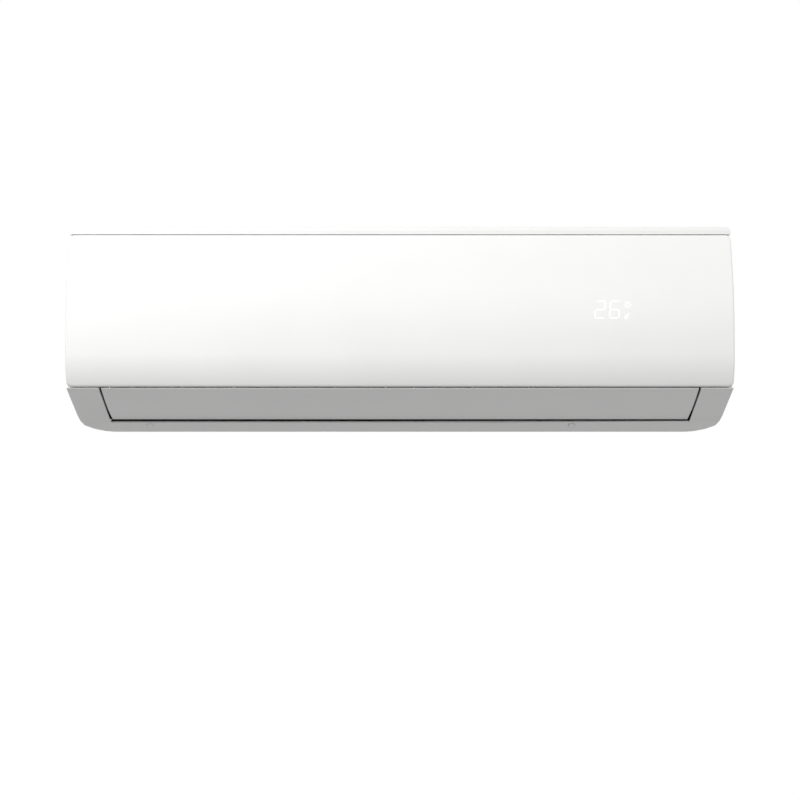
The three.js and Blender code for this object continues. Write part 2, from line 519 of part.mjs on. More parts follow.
// The three sheets of an end, tied by strips over the joints between the blocks.
function coilEnd(x, hand) {
  const { sheets, loops } = coilBends(x, hand);
  const [lower, upper, rear] = Object.values(coilEnds);
  const ties = [[lower[1], upper[0]], [upper[1], rear[0]]].map(([a, b]) => {
    const length = Math.hypot(b[0] - a[0], b[1] - a[1]);
    const grown = [along(a, b, -3 / length), along(a, b, 1 + 3 / length)];
    const strip = ribbon(grown, -4, 4);
    return alongX(strip, Math.min(x, x + hand * coil.sheet), Math.max(x, x + hand * coil.sheet));
  });
  return join(sheets, ties, loops);
}

// Cross-flow fan: curved blades between discs, a stub for the bearing at the left and a hub at the right.
function crossFlowFan() {
  const x0 = crossX[0] + fan.endGap;
  const x1 = crossX[1] - fan.endGap - 2;
  const bladeOutline = (turn) => {
    const outer = new THREE.Vector2(fan.radius - 0.4, 0);
    const inner = new THREE.Vector2(fan.inner, 0).rotateAround(new THREE.Vector2(), -0.16);
    const middle = outer.clone().add(inner).multiplyScalar(0.5).add(new THREE.Vector2(0.4, 2.4));
    return ribbon([outer, middle, inner].map((p) => p.toArray()), -fan.thick / 2, fan.thick / 2)
      .map(([u, v]) => new THREE.Vector2(u, v).rotateAround(new THREE.Vector2(), turn).toArray())
      .map(([u, v]) => [fanY + u, fanZ + v]);
  };
  const blades = spread(0, 2 * Math.PI, fan.blades + 1).slice(1).map((turn) =>
    alongX(bladeOutline(turn), x0, x1));
  const discs = spread(x0, x1 - fan.disc, fan.bays + 1).map((x, i) => {
    const disc = bar([x, fanY, fanZ], [x + fan.disc, fanY, fanZ], fan.radius, 24);
    const open = i > 0 && i < fan.bays;
    return open ? disc.subtract(bar([x - 1, fanY, fanZ], [x + fan.disc + 1, fanY, fanZ], fan.inner - 4, 12))
      : disc;
  });
  const stub = bar([crossX[0] - 8, fanY, fanZ], [x0 + 1, fanY, fanZ], fan.shaft, 12);
  const hub = bar([x1 - 20, fanY, fanZ], [x1 - 1, fanY, fanZ], fan.hub, 18);
  const bore = bar([x1 - 18, fanY, fanZ], [x1 + 1, fanY, fanZ], fan.shaft + gap, 12);
  return cut(join(discs, blades, stub, hub), bore);
}
const motorShaft = () => bar([crossX[1] - fan.endGap - 2 - 16, fanY, fanZ], [motor.from + 20, fanY, fanZ],
  fan.shaft, 12);
const fanBearing = () => cut(bar([crossX[0] - 10, fanY, fanZ], [crossX[0] - shell - gap, fanY, fanZ], 11,
  16), bar([crossX[0] - 8 - gap * 2, fanY, fanZ], [crossX[0], fanY, fanZ], fan.shaft + gap, 12));

function fanMotor() {
  const body = bar([motor.from, fanY, fanZ], [motor.to, fanY, fanZ], motor.radius, 32);
  const nose = bar([motor.from - 8, fanY, fanZ], [motor.from + 1, fanY, fanZ], motor.boss, 18);
  const tail = bar([motor.to - 1, fanY, fanZ], [motor.to + 6, fanY, fanZ], motor.boss, 18);
  const bore = bar([motor.from - 9, fanY, fanZ], [motor.from + 21, fanY, fanZ], fan.shaft + gap, 12);
  return cut(join(body, nose, tail), bore);
}

// Clamp over the motor, from the chassis wall round the front of the motor, seated on the saddles' line.
function motorClamp() {
  const [x0, x1] = [motor.clamp, motor.clamp + motor.strap];
  const radius = motor.radius + 2 * gap;
  const arc = spread(1, 179, 15).map((degrees) => {
    const angle = THREE.MathUtils.degToRad(degrees);
    return [fanY + radius * Math.cos(angle), fanZ + radius * Math.sin(angle)];
  });
  const strap = alongX(ribbon(arc, -2.5, 0), x0, x1);
  const rearFoot = block(x0, x1, fanY + radius + 1, wallY - shell - gap, fanZ + gap, fanZ + 3);
  const frontFoot = block(x0, x1, fanY - motor.radius - 8, fanY - radius - 1, fanZ + gap, fanZ + 3);
  return join(strap, rearFoot, frontFoot);
}

// Horizontal vane: a crowned plate with ribs inside and pivot arms at its ends and middle.
function vaneSection(s, height) {
  const t = s / vaneLength;
  return onVane(s, height - vane.crown * 4 * t * (1 - t));
}
function horizontalVane() {
  const outer = spread(0, vaneLength, 9).map((s) => vaneSection(s, 0));
  const inner = spread(vaneLength - 0.6, 0.6, 9).map((s) =>
    vaneSection(s, mix(vane.edge, vane.thick, Math.sin((Math.PI * s) / vaneLength) ** 0.6)));
  const skin = alongX([...outer, ...inner], -vane.halfLength, vane.halfLength);
  const armOutline = [vaneSection(vane.pivotIn - 12, 1), onVane(vane.pivotIn - 5, vane.pivotUp + 2),
    onVane(vane.pivotIn, vane.pivotUp + 5), onVane(vane.pivotIn + 5, vane.pivotUp + 2),
    vaneSection(vane.pivotIn + 20, 1)];
  const arms = [-vane.halfLength, vane.halfLength - vane.arm, -2 - gap - vane.arm, 2 + gap].map((x) =>
    alongX(armOutline, x, x + vane.arm));
  const ribs = [22, 62].map((s) => alongX([vaneSection(s, 1), vaneSection(s, 5), vaneSection(s + 2, 5),
    vaneSection(s + 2, 1)], -vane.halfLength + 1, vane.halfLength - 1));
  const pins = [[-side - shell - 2, -vane.halfLength + 1],
    [vane.halfLength - 1, side + shell + vane.pinReach],
    [-3 - gap, 3 + gap]].map(([x0, x1]) => bar([x0, ...vanePivot], [x1, ...vanePivot], vane.pin, 12));
  const bracketRoom = block(-2 - gap, 2 + gap, vanePivot[0] - 12, vanePivot[0] + 12, vanePivot[1] - 8,
    vanePivot[1] + 20);
  return join(cut(join(skin, arms, ribs), bracketRoom.intersect(bar([-9, ...vanePivot], [9, ...vanePivot],
    vane.pivotUp - vane.thick - 0.5, 12))), pins);
}
const vaneMotor = () => {
  const x0 = side + shell + gap;
  const centre = onVane(vane.pivotIn, vane.pivotUp + 7);
  const can = bar([x0 + 2, ...centre], [x0 + 19, ...centre], 12, 24);
  const plateEars = alongX([onVane(vane.pivotIn - 16, vane.pivotUp + 4),
    onVane(vane.pivotIn + 16, vane.pivotUp + 4),
    onVane(vane.pivotIn + 16, vane.pivotUp + 10), onVane(vane.pivotIn - 16, vane.pivotUp + 10)], x0,
      x0 + 3);
  return cut(join(can, plateEars), bar([x0 - 1, ...vanePivot], [x0 + vane.pinReach + 1, ...vanePivot],
    vane.pin + gap, 12));
};

// Upright blades: two gangs, each blade on a pin in the outlet floor and tied to its link rod.
const bladeSpans = [[crossX[0] + 24, -18], [18, crossX[1] - 20]];
const gangs = bladeSpans.map(([x0, x1]) => spread(x0, x1, blade.perGang));
const bladeX = gangs.flat();

function uprightBlade(x) {
  const { from, to, lift, high } = blade;
  const web = alongX([onFloor(from, lift), onFloor(to, lift), onFloor(to, high), onFloor(to - 15, high),
    onFloor(from + 2, high * 0.42)], x - blade.thick / 2, x + blade.thick / 2);
  const foot = bar([x, ...onFloor(blade.pivot, lift - 0.8)], [x, ...onFloor(blade.pivot, lift + 0.6)], 4,
    6);
  const pin = bar([x, ...onFloor(blade.pivot, -shell - 1)], [x, ...onFloor(blade.pivot, lift)], blade.pin,
    8);
  const rodPin = bar([x, ...onFloor(blade.rodAt, high - 3)],
    [x, ...onFloor(blade.rodAt, high + gap + blade.rod + 1)], blade.rodPin, 6);
  return join(web, foot, pin, rodPin);
}
function linkRod(xs) {
  const height = blade.high + gap;
  const w = blade.rodWidth / 2;
  const strip = alongX([onFloor(blade.rodAt - w, height), onFloor(blade.rodAt + w, height),
    onFloor(blade.rodAt + w, height + blade.rod), onFloor(blade.rodAt - w, height + blade.rod)],
  xs[0] - w, xs.at(-1) + w);
  const holes = xs.map((x) => bar([x, ...onFloor(blade.rodAt, height - 1)],
    [x, ...onFloor(blade.rodAt, height + blade.rod + 1)], blade.rodPin + gap, 6));
  const tab = alongX([onFloor(blade.rodAt + w - 1, height), onFloor(blade.rodAt + w + 2.5, height + 1),
    onFloor(blade.rodAt + w + 2.5, height + 3), onFloor(blade.rodAt + w - 1, height + blade.rod)],
  mix(xs[2], xs[3], 0.4), mix(xs[2], xs[3], 0.6));
  return cut(join(strip, tab), ...holes);
}

// Washable filter: a bent frame with cross bars, its mesh left open here, and a finger tab at its foot.
function airFilter([x0, x1]) {
  const sheet = ribbon(filterPath, -filter.thick / 2, filter.thick / 2);
  const inner = filterPath.map((p, i) => (i === 0 ? along(filterPath[0], filterPath[1], filter.rim / 140)
    : p));
  inner[inner.length - 1] = [filter.rear - filter.rim, filter.run];
  const columns = spread(x0 + filter.rim - 2, x1 - filter.rim + 2, 5);
  const openings = columns.slice(1).map((x, i) => alongX(ribbon(inner, -9, 9), columns[i] + 2, x - 2));
  const bars = [0.35, 0.7].map((t) => {
    const z = mix(filter.low, filter.turn, t);
    return block(x0 + 1, x1 - 1, filterY(z) - 1, filterY(z) + 1, z - 1, z + 1);
  });
  const topBar = block(x0 + 1, x1 - 1, -101, -99, filter.run - 1, filter.run + 1);
  const middle = (x0 + x1) / 2;
  const tab = block(middle - 14, middle + 14, filterLow[0] - 1.5, filterLow[0] + 0.6, filter.low - 6,
    filter.low + 2);
  return join(cut(alongX(sheet, x0, x1), ...openings), bars, topBar, tab);
}

// Electrics at the right end: a deep box with its cover, the board inside and the terminals beside it.
function electricalBox() {
  const { left, right, low, high, back } = box;
  const body = block(left, right, box.front, back, low, high);
  const hollow = block(left + box.shell, right - box.shell, box.front - 1, back - box.shell,
    low + box.shell, high - box.shell);
  const rails = [low + 30, high - 30].map((z) =>
    block(left + 1, right - 1, box.front + 30, box.front + 33, z - 2, z + 2));
  return cut(join(cut(body, hollow), rails), block(left + 12, left + 24, -150, -120, low - 1, low + 4));
}
const coverSlots = spread(box.low + 60, box.high - 30, 6);
const coverThick = 2;
const electricalCover = () => cut(block(box.left, box.right, box.front - gap - coverThick, box.front - gap,
  box.low, box.high),
  ...coverSlots.map((z) => block(box.left + 14, box.right - 40, box.front - 4, box.front, z - 1.5,
    z + 1.5)));
function controlBoard() {
  const y = box.front + 30 - gap;
  const { left, right, low, high } = box;
  const card = block(left + 5, right - 5, y - 1.6, y, low + 6, high - 6);
  const parts = [[left + 12, low + 18, 18, 24, 14], [left + 40, low + 14, 12, 12, 20],
    [left + 58, low + 16, 14, 20, 12],
    [left + 14, low + 66, 26, 18, 8], [left + 50, low + 60, 16, 30, 16], [left + 18, low + 94, 30, 10, 6]];
  return join(card, parts.map(([x, z, w, h, d]) => block(x, x + w, y - 1.4 - d, y - 1.4, z, z + h)));
}
const terminalFace = fanY - motor.radius - 29; // ahead of the motor's saddles
function terminalBlock() {
  const x0 = box.left - 6 - 1;
  const y0 = terminalFace;
  const body = block(x0 - 34, x0, y0, y0 + 16, box.low + 8, box.low + 30);
  const ways = spread(x0 - 30, x0 - 4, 4).map((x) =>
    bar([x, y0 - 1, box.low + 19], [x, y0 + 5, box.low + 19], 2.6, 8));
  return cut(body, ...ways);
}
const terminalBracket = () => block(box.left - 42, box.left - gap, terminalFace + 16 + gap,
  terminalFace + 18 + gap, box.low + 2, box.low + 36);

// A flat piece that leans with the frame's front wall, between two depths behind its face.
const leaning = (halfWidth, halfHeight, near, far) => {
  const [low, high] = [display.z - halfHeight, display.z + halfHeight];
  return alongX([[recessY(low) + near, low], [recessY(high) + near, high], [recessY(high) + far, high],
    [recessY(low) + far, low]], display.x - halfWidth, display.x + halfWidth);
};
const displayBoard = () => join(
  leaning(display.half + 5, display.high + 4, shell + 0.6, shell + 0.6 + display.thick),
  leaning(16, 9, 2.2, shell + 0.8));
const displayLens = () => leaning(display.half - gap, display.high - gap, 0.3, 1.8);
const emergencyButton = () => {
  const at = (depth) => [button.x, recessY(button.z) + depth, button.z];
  return join(bar(at(-2.2), at(6), button.radius, 16),
    bar(at(shell + 2 + gap), at(shell + 4), button.radius + 2, 16));
};

// Refrigerant pipes along the channel at the back, ending in flare nuts.
const pipeRuns = {
  suction_pipe: { radius: 6, y: -24, z: bottom + 40, end: -60, out: 22, tap: 0.32, drop: -25 },
  liquid_pipe: { radius: 3.2, y: -38, z: bottom + 24, end: -40, out: 9.4, tap: 0.82, drop: -38.5 },
};
// Each pipe leaves the rear block's tube sheet, drops behind the motor and turns along the channel.
function pipe({ radius, y, z, end, out, tap, drop }) {
  const x = crossX[1] + 0.6;
  const [tapY, tapZ] = along(...coilEnds.evaporator_rear, tap);
  const curve = new THREE.CatmullRomCurve3([[x, tapY, tapZ], [x + out - 3, tapY, tapZ],
    [x + out, tapY + 3, tapZ - 5],
    [x + out, drop, fanZ + 26], [x + out, drop, z + 34], [x + out - 6, y, z + 7], [x + out - 22, y, z],
      [60, y, z],
    [end, y, z]].map((p) => new THREE.Vector3(...p)), false, "centripetal");
  return tube(curve, radius, 26, 6);
}
function flareNut({ radius, y, z, end }) {
  const across = radius * 1.75;
  return cut(bar([end - gap - radius * 3, y, z], [end - gap, y, z], across, 6),
    bar([end - gap - radius * 3 - 1, y, z], [end - gap - radius * 2.2, y, z], radius, 12));
}
function pipeClamp() {
  const x = 60;
  const { suction_pipe: big, liquid_pipe: small } = pipeRuns;
  const body = block(x, x + 22, small.y - 7, wallY, small.z - 9, big.z + 10);
  return cut(body, ...[big, small].map((run) => bar([x - 1, run.y, run.z], [x + 23, run.y, run.z],
    run.radius + 0.5, 12)));
}

// Coil sensor in its pocket on the right tube sheet, and room sensor on the electrical cover.
const sensor = { radius: 2.4, length: 12, at: 0.66, low: 24, in: 12 };
function coilSensor() {
  const [from, to] = coilEnds.evaporator_rear;
  const across = new THREE.Vector2(from[1] - to[1],
    to[0] - from[0]).normalize().multiplyScalar(0.45 * coil.halfThick);
  const [y, z] = along(from, to, sensor.at);
  const x = coilRight - 2 + gap + coil.sheet + gap;
  const at = [y - across.x, z - across.y];
  return join(bar([x, ...at], [x + sensor.length, ...at], sensor.radius, 12),
    bar([x + sensor.length - 1, ...at], [x + sensor.length + 4, ...at], sensor.radius / 2, 8));
}
function roomSensor() {
  const y = box.front - coverThick - gap - sensor.radius - gap;
  const at = [y, box.low + sensor.low];
  return join(bar([box.left + sensor.in, ...at], [box.left + sensor.in + sensor.length, ...at],
    sensor.radius, 12),
    block(box.left + sensor.in + 2, box.left + sensor.in + 6, y, box.front - coverThick - 2 * gap,
      at[1] - 4, at[1] + 4));
}

const screwCap = (x) => bar(fromLip(x, -0.6), fromLip(x, 1.4), screws.cap - gap / 2, 16);
const screw = (x) => join(bar(fromLip(x, 2.4), fromLip(x, 4.4), 3.4, 12), bar(fromLip(x, 4), fromLip(x, 12),
  screws.shank, 8));

// ---------- assembly ----------

add("mounting_plate", mountingPlate(), "steel");
add("rear_chassis", rearChassis(), "greyMoulding");
add("front_frame", frontFrame(), "whiteSatin");
add("intake_grille", intakeGrille(), "whiteSatin");
add("front_panel", frontPanel(), "whiteGloss");
for (const [name, ends] of Object.entries(coilEnds)) add(name,
  alongX(band(ends), coilLeft + 2, coilRight - 2), "finStock");
add("coil_bends_left", coilEnd(coilLeft + 2 - gap, -1), "copper");
add("coil_bends_right", coilEnd(coilRight - 2 + gap, 1), "copper");
add("outlet_duct", outletDuct(), "greyMoulding");
add("cross_flow_fan", crossFlowFan(), "darkMoulding");
add("drain_plug", drainPlug(), "darkMoulding");
add("motor_shaft", motorShaft(), "steel");
add("fan_bearing", fanBearing(), "darkMoulding");
add("fan_motor", fanMotor(), "steel");
add("motor_clamp", motorClamp(), "greyMoulding");
add("horizontal_vane", horizontalVane(), "whiteSatin");
add("vane_motor", vaneMotor(), "greyMoulding");
gangs.forEach((xs, g) => {
  const hand = ["left", "right"][g];
  xs.forEach((x, i) => add(`upright_blade_${hand}_${i + 1}`, uprightBlade(x), "greyMoulding"));
  add(`link_rod_${hand}`, linkRod(xs), "greyMoulding");
  add(`air_filter_${hand}`, airFilter(filterSpans[g]), "greyMoulding");
});
add("electrical_box", electricalBox(), "greyMoulding");
add("electrical_cover", electricalCover(), "greyMoulding");
add("control_board", controlBoard(), "board");
add("terminal_block", terminalBlock(), "darkMoulding");
add("terminal_bracket", terminalBracket(), "steel");
add("display_board", displayBoard(), "board");
add("display_lens", displayLens(), "smoked");
add("emergency_button", emergencyButton(), "greyMoulding");
add("coil_sensor", coilSensor(), "copper");
add("room_sensor", roomSensor(), "darkMoulding");
for (const [name, run] of Object.entries(pipeRuns)) {
  add(name, pipe(run), "copper");
  add(name.replace("pipe", "flare_nut"), flareNut(run), "brass");
}
add("pipe_clamp", pipeClamp(), "darkMoulding");
screws.at.forEach((x, i) => {
  add(`screw_cap_${["left", "right"][i]}`, screwCap(x), "whiteSatin");
  add(`frame_screw_${["left", "right"][i]}`, screw(x), "steel");
});

export default model;
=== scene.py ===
from math import radians, pi
import bmesh
import bpy
import numpy as np
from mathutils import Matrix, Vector


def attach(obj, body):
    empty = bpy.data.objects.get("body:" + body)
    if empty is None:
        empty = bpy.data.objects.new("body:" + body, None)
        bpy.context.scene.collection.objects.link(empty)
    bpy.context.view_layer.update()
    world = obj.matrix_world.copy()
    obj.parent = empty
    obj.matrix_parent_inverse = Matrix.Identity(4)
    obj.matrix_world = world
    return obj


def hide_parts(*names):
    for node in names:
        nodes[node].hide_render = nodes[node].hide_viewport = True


# Indoor unit of a mini split air conditioner: moulded front panel, frame and vane over the coil and fan.
# Pieces of the frame keep their mesh or get a smoothed copy of it; finer pieces are worked out below.
# All lengths are in metres.

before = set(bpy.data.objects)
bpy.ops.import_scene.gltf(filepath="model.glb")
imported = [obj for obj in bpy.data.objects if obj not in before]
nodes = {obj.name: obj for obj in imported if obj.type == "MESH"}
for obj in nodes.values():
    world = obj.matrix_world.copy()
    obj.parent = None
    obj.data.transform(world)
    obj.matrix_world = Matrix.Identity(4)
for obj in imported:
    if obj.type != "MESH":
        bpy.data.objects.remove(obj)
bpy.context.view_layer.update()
mm = 0.001
print("frame loaded:", len(nodes), "nodes")


camera = {
    "height": -85 * mm,
    "distance": 2.40,  # from the front-most plane
    "lens": 90.5,
    "front": -0.200,
}
lamps = {
    "key": {"at": (-0.95, -1.1, 0.75), "aim": (-0.25, -0.15, 0.0), "size": (0.8, 0.8), "watts": 9},
    "front": {"at": (0.9, -3.4, 1.5), "aim": (0.0, -0.1, 0.0), "size": (2.6, 1.6), "watts": 42},
}
room = {
    "floor": -1.35, "reach": 9.0, "cells": 12,
    "sky": 0.66, "white": 1.0,  # strengths of the sky and of the background the camera sees
    "floorWhite": 1.04, "floorShare": 0.97,  # strength and share of the floor's white to the camera
}


# Places a lamp or camera and turns its -Z axis towards the target, with Y up.
def aim(obj, at, target):
    obj.location = at
    obj.rotation_euler = (Vector(target) - Vector(at)).to_track_quat("-Z", "Y").to_euler()


lensData = bpy.data.cameras.new("camera")
lensData.lens = camera["lens"]
lensData.sensor_width = 36
cameraObject = bpy.data.objects.new("camera", lensData)
bpy.context.scene.collection.objects.link(cameraObject)
eye = (0.0, camera["front"] - camera["distance"], camera["height"])
aim(cameraObject, eye, (0.0, 0.0, camera["height"]))
bpy.context.scene.camera = cameraObject
bpy.context.scene.view_settings.view_transform = "Standard"

for name, lamp in lamps.items():
    data = bpy.data.lights.new(name, "AREA")
    data.shape = "RECTANGLE"
    data.size, data.size_y = lamp["size"]
    data.energy = lamp["watts"]
    obj = bpy.data.objects.new(name, data)
    obj.visible_glossy = False  # the polished panel mirrors the white room alone, without a lamp's outline
    bpy.context.scene.collection.objects.link(obj)
    aim(obj, lamp["at"], lamp["aim"])


# sRGB hex to linear: a straight part under 0.04045, a 2.4 power above it, and alpha 1.
def linear(hexColour):
    srgb = np.array([int(hexColour[i:i + 2], 16) / 255 for i in (1, 3, 5)])
    rgb = np.where(srgb <= 0.04045, srgb / 12.92, ((srgb + 0.055) / 1.055) ** 2.4)
    return (*rgb.tolist(), 1.0)


# One shader node: a setting that names a property is set there, any other goes to that input or links to it.
def add(tree, kind, settings):
    made = tree.nodes.new("ShaderNode" + kind)
    for key, value in settings.items():
        if isinstance(key, str) and hasattr(made, key):
            setattr(made, key, value)
        elif isinstance(value, bpy.types.NodeSocket):
            tree.links.new(value, made.inputs[key])
        else:
            made.inputs[key].default_value = value
    return made


# A material with an empty node tree, and the tree.
def newMaterial(name):
    material = bpy.data.materials.new(name)
    material.use_nodes = True
    material.node_tree.nodes.clear()
    return material, material.node_tree


# Joins a shader to the material's output.
def finishMaterial(tree, shader):
    add(tree, "OutputMaterial", {"Surface": shader})


# The piece's own coordinates, in which every texture is read.
def objectPoints(tree):
    return add(tree, "TexCoord", {}).outputs["Object"]


# Fractal noise from 0 to 1 with features of one size.
def noise(tree, points, size, detail):
    return add(tree, "TexNoise", {"Vector": points, "Scale": 1 / size, "Detail": detail}).outputs[0]


# Blend from the first colour to the second as the share goes from 0 to 1.
def blended(tree, share, first, second):
    return add(tree, "Mix", {"data_type": "RGBA", 0: share, 6: first, 7: second}).outputs[2]


# A value from 0 to 1 stretched evenly between two numbers.
def ranged(tree, value, low, high):
    return add(tree, "MapRange", {"Value": value, 3: low, 4: high}).outputs[0]


# The larger of two values, which for two yes-or-no values means either of them.
def larger(tree, one, two):
    return add(tree, "Math", {"operation": "MAXIMUM", 0: one, 1: two}).outputs[0]


# Normal that follows a height's slopes, on edges rounded to a radius.
def bumped(tree, height, strength, depth, edge):
    rounded = add(tree, "Bevel", {"samples": 4, "Radius": edge}).outputs[0]
    return add(tree, "Bump", {"Height": height, "Strength": strength, "Distance": depth,
                              "Normal": rounded}).outputs[0]


# Injection-moulded plastic: even colour with a slow faint drift, the mould's fine texture and eased edges.
def mouldedPlastic(name, colour, roughness, grainMm, grainDepthMm, edgeMm, ior=1.53, drift=0.012):
    material, tree = newMaterial(name)
    points = objectPoints(tree)
    base = linear(colour)
    darker = tuple(c * (1 - 4 * drift) for c in base[:3]) + (1.0,)
    tint = blended(tree, noise(tree, points, 90 * mm, 2.0), darker, base)
    grain = noise(tree, points, grainMm * mm, 3.0)
    rough = ranged(tree, grain, roughness - 0.03, roughness + 0.03)
    bump = bumped(tree, grain, 0.25, grainDepthMm * mm, edgeMm * mm)
    shader = add(tree, "BsdfPrincipled", {"Base Color": tint, "Roughness": rough, "Normal": bump,
                                          "IOR": ior})
    finishMaterial(tree, shader.outputs[0])
    return material


# Metal with its process on it: streaks along the way it was drawn, or the spangle of a zinc bath.
def metal(name, colour, second, roughness, pattern, stretch=(1, 1, 1), edgeMm=0.25):
    material, tree = newMaterial(name)
    place = add(tree, "Mapping", {"Vector": objectPoints(tree), "Scale": stretch}).outputs[0]
    if pattern == "spangle":
        cells = add(tree, "TexVoronoi", {"Vector": place, "Scale": 1 / (9 * mm)}).outputs["Color"]
        value = add(tree, "SeparateColor", {"Color": cells}).outputs[0]
    else:
        value = noise(tree, place, 4 * mm, 4.0)
    tint = blended(tree, value, linear(colour), linear(second))
    rough = ranged(tree, value, roughness - 0.06, roughness + 0.06)
    bump = bumped(tree, value, 0.12, 0.02 * mm, edgeMm * mm)
    shader = add(tree, "BsdfPrincipled", {"Base Color": tint, "Metallic": 1.0, "Roughness": rough,
                                          "Normal": bump})
    finishMaterial(tree, shader.outputs[0])
    return material


# Printed circuit card: green solder mask, through which the copper tracks show as paler lines.
def solderMask(name):
    material, tree = newMaterial(name)
    turned = add(tree, "Mapping", {"Vector": objectPoints(tree), "Rotation": (0, radians(45), 0)}).outputs[0]
    tracks = add(tree, "TexBrick", {"Vector": turned, "Color1": (0, 0, 0, 1), "Color2": (0, 0, 0, 1),
                                    "Mortar": (1, 1, 1, 1), "Scale": 1 / (10 * mm),
                                    "Mortar Size": 0.06}).outputs[0]
    tint = blended(tree, tracks, linear("#1F5A38"), linear("#3F8457"))
    shader = add(tree, "BsdfPrincipled", {"Base Color": tint, "Roughness": 0.35})
    finishMaterial(tree, shader.outputs[0])
    return material


# Light emitting segments: a little of their own light, uneven by the fine grain of the diffuser over them.
def litSegment(name, colour, strength):
    material, tree = newMaterial(name)
    grain = noise(tree, objectPoints(tree), 2 * mm, 1.0)
    rough = ranged(tree, grain, 0.18, 0.26)
    glow = ranged(tree, grain, strength * 0.94, strength * 1.06)
    shader = add(tree, "BsdfPrincipled", {"Base Color": linear(colour), "Roughness": rough,
                                          "Emission Color": linear(colour), "Emission Strength": glow})
    finishMaterial(tree, shader.outputs[0])
    return material


# Painted studio floor: white to the camera and in reflections, matt and shadowed for every other ray.
def paleFloor(name):
    material, tree = newMaterial(name)
    ways = add(tree, "LightPath", {})
    shown = larger(tree, ways.outputs["Is Camera Ray"], ways.outputs["Is Glossy Ray"])
    share = add(tree, "Math", {"operation": "MULTIPLY", 0: shown, 1: room["floorShare"]}).outputs[0]
    speckle = noise(tree, objectPoints(tree), 20 * mm, 2.0)
    tint = blended(tree, speckle, linear("#A6A6A6"), linear("#ACACAC"))
    matt = add(tree, "BsdfDiffuse", {"Color": tint}).outputs[0]
    white = add(tree, "Emission", {"Color": (1, 1, 1, 1), "Strength": room["floorWhite"]}).outputs[0]
    finishMaterial(tree, add(tree, "MixShader", {0: share, 1: matt, 2: white}).outputs[0])
    return material


materials = {
    # polished mould: soft reflections over an even white
    "glossAbs": mouldedPlastic("panel_gloss_abs_polished_mould", "#F3F3F2", 0.24, 2.5, 0.004, 0.6),
    # fine etched mould: the same white, duller, with a grain that shows close up
    "satinAbs": mouldedPlastic("frame_satin_abs_fine_etched_mould", "#F0F0EF", 0.42, 0.5, 0.02, 0.7),
    # unpainted structural moulding: greyer and flatter than the outside
    "greyPs": mouldedPlastic("chassis_polystyrene_as_moulded", "#CBCDCE", 0.5, 0.6, 0.03, 0.5),
    # polystyrene of the duct and the back: dark grey as painted shade, so that the gaps round the vane read
    # dark
    "ductShadeDarkPs": mouldedPlastic("duct_and_back_polystyrene_dark_as_shade", "#4A4D50", 0.55, 0.7, 0.03, 0.5,
                             drift=0.02),
    # flame-proof grade of the electrical box: a warmer, duller white
    "coverPs": mouldedPlastic("electrical_box_flame_proof_abs", "#DADBDA", 0.5, 0.6, 0.03, 0.5),
    # filter frame: waxy, slightly blue
    "filterPp": mouldedPlastic("filter_frame_polypropylene", "#DDE0E2", 0.45, 0.6, 0.02, 0.4),
    # filter net: extruded threads, smooth and a shade darker than their frame
    "netPp": mouldedPlastic("filter_net_woven_polypropylene", "#C9CED2", 0.5, 0.4, 0.01, 0.1),
    # upright blades and their rods: a harder polystyrene, off-white
    "bladePs": mouldedPlastic("upright_blade_polystyrene", "#D8DADB", 0.45, 0.6, 0.02, 0.3),
    # glass fibre in the resin leaves the fan dark, dull and uneven
    "fanAs": mouldedPlastic("fan_glass_filled_as_resin", "#2A2D30", 0.55, 0.5, 0.04, 0.2, drift=0.03),
    # nylon of the clamp, the terminals and the room sensor: black, slightly uneven
    "blackNylon": mouldedPlastic("black_nylon_moulded", "#1D1F21", 0.5, 0.5, 0.03, 0.3, drift=0.03),
    # cured rubber of the bearing's seat and the plug: nearly black and dull
    "rubber": mouldedPlastic("bearing_rubber_cured", "#151618", 0.8, 0.8, 0.03, 0.4, drift=0.03),
    # closed-cell foam: black, dull and finely pitted; its near-black is painted shade in the gaps round the
    # outlet
    "foam": mouldedPlastic("gap_shade_foam_closed_cell", "#18191B", 0.9, 0.9, 0.08, 0.3, drift=0.03),
    # pressed bulk compound round the motor: chalky, with cloudy patches
    "resin": mouldedPlastic("motor_bulk_resin_pressed", "#D9D7D0", 0.6, 1.2, 0.05, 0.8, drift=0.03),
    # diffuser over the display: smooth polycarbonate, with its own refractive index
    "lens": mouldedPlastic("display_diffuser_polycarbonate", "#E3E6E8", 0.2, 2.0, 0.004, 0.3, ior=1.585),
    # hot-dip zinc: spangle in two greys
    "zinc": metal("mounting_plate_hot_dip_zinc", "#A7ABAD", "#C3C7C9", 0.38, "spangle"),
    # ground steel: fine streaks along the shaft
    "shaftSteel": metal("shaft_steel_ground", "#9EA2A5", "#B9BDC0", 0.25, "drawn", (0.1, 4, 4)),
    # drawn copper: streaks along the tubes, slightly browned
    "copper": metal("coil_copper_tube_drawn", "#B4704C", "#C98A62", 0.3, "drawn", (0.4, 1, 1)),
    # turned brass: fine rings round the flare nuts
    "brass": metal("flare_nut_brass_turned", "#B3954F", "#CDB26B", 0.28, "drawn", (3, 0.4, 0.4)),
    # rolled foil with its bluish water-shedding coat
    "fins": metal("fin_aluminium_coated_foil", "#AEB9C0", "#C6D0D6", 0.35, "drawn", (0.3, 1, 1),
                  edgeMm=0.05),
    "card": solderMask("display_and_control_card_solder_mask"),
    "lit": litSegment("display_segment_white_led", "#FFFFFF", 0.05),
    "floor": paleFloor("floor_painted_white"),
}
print("materials made:", len(materials))

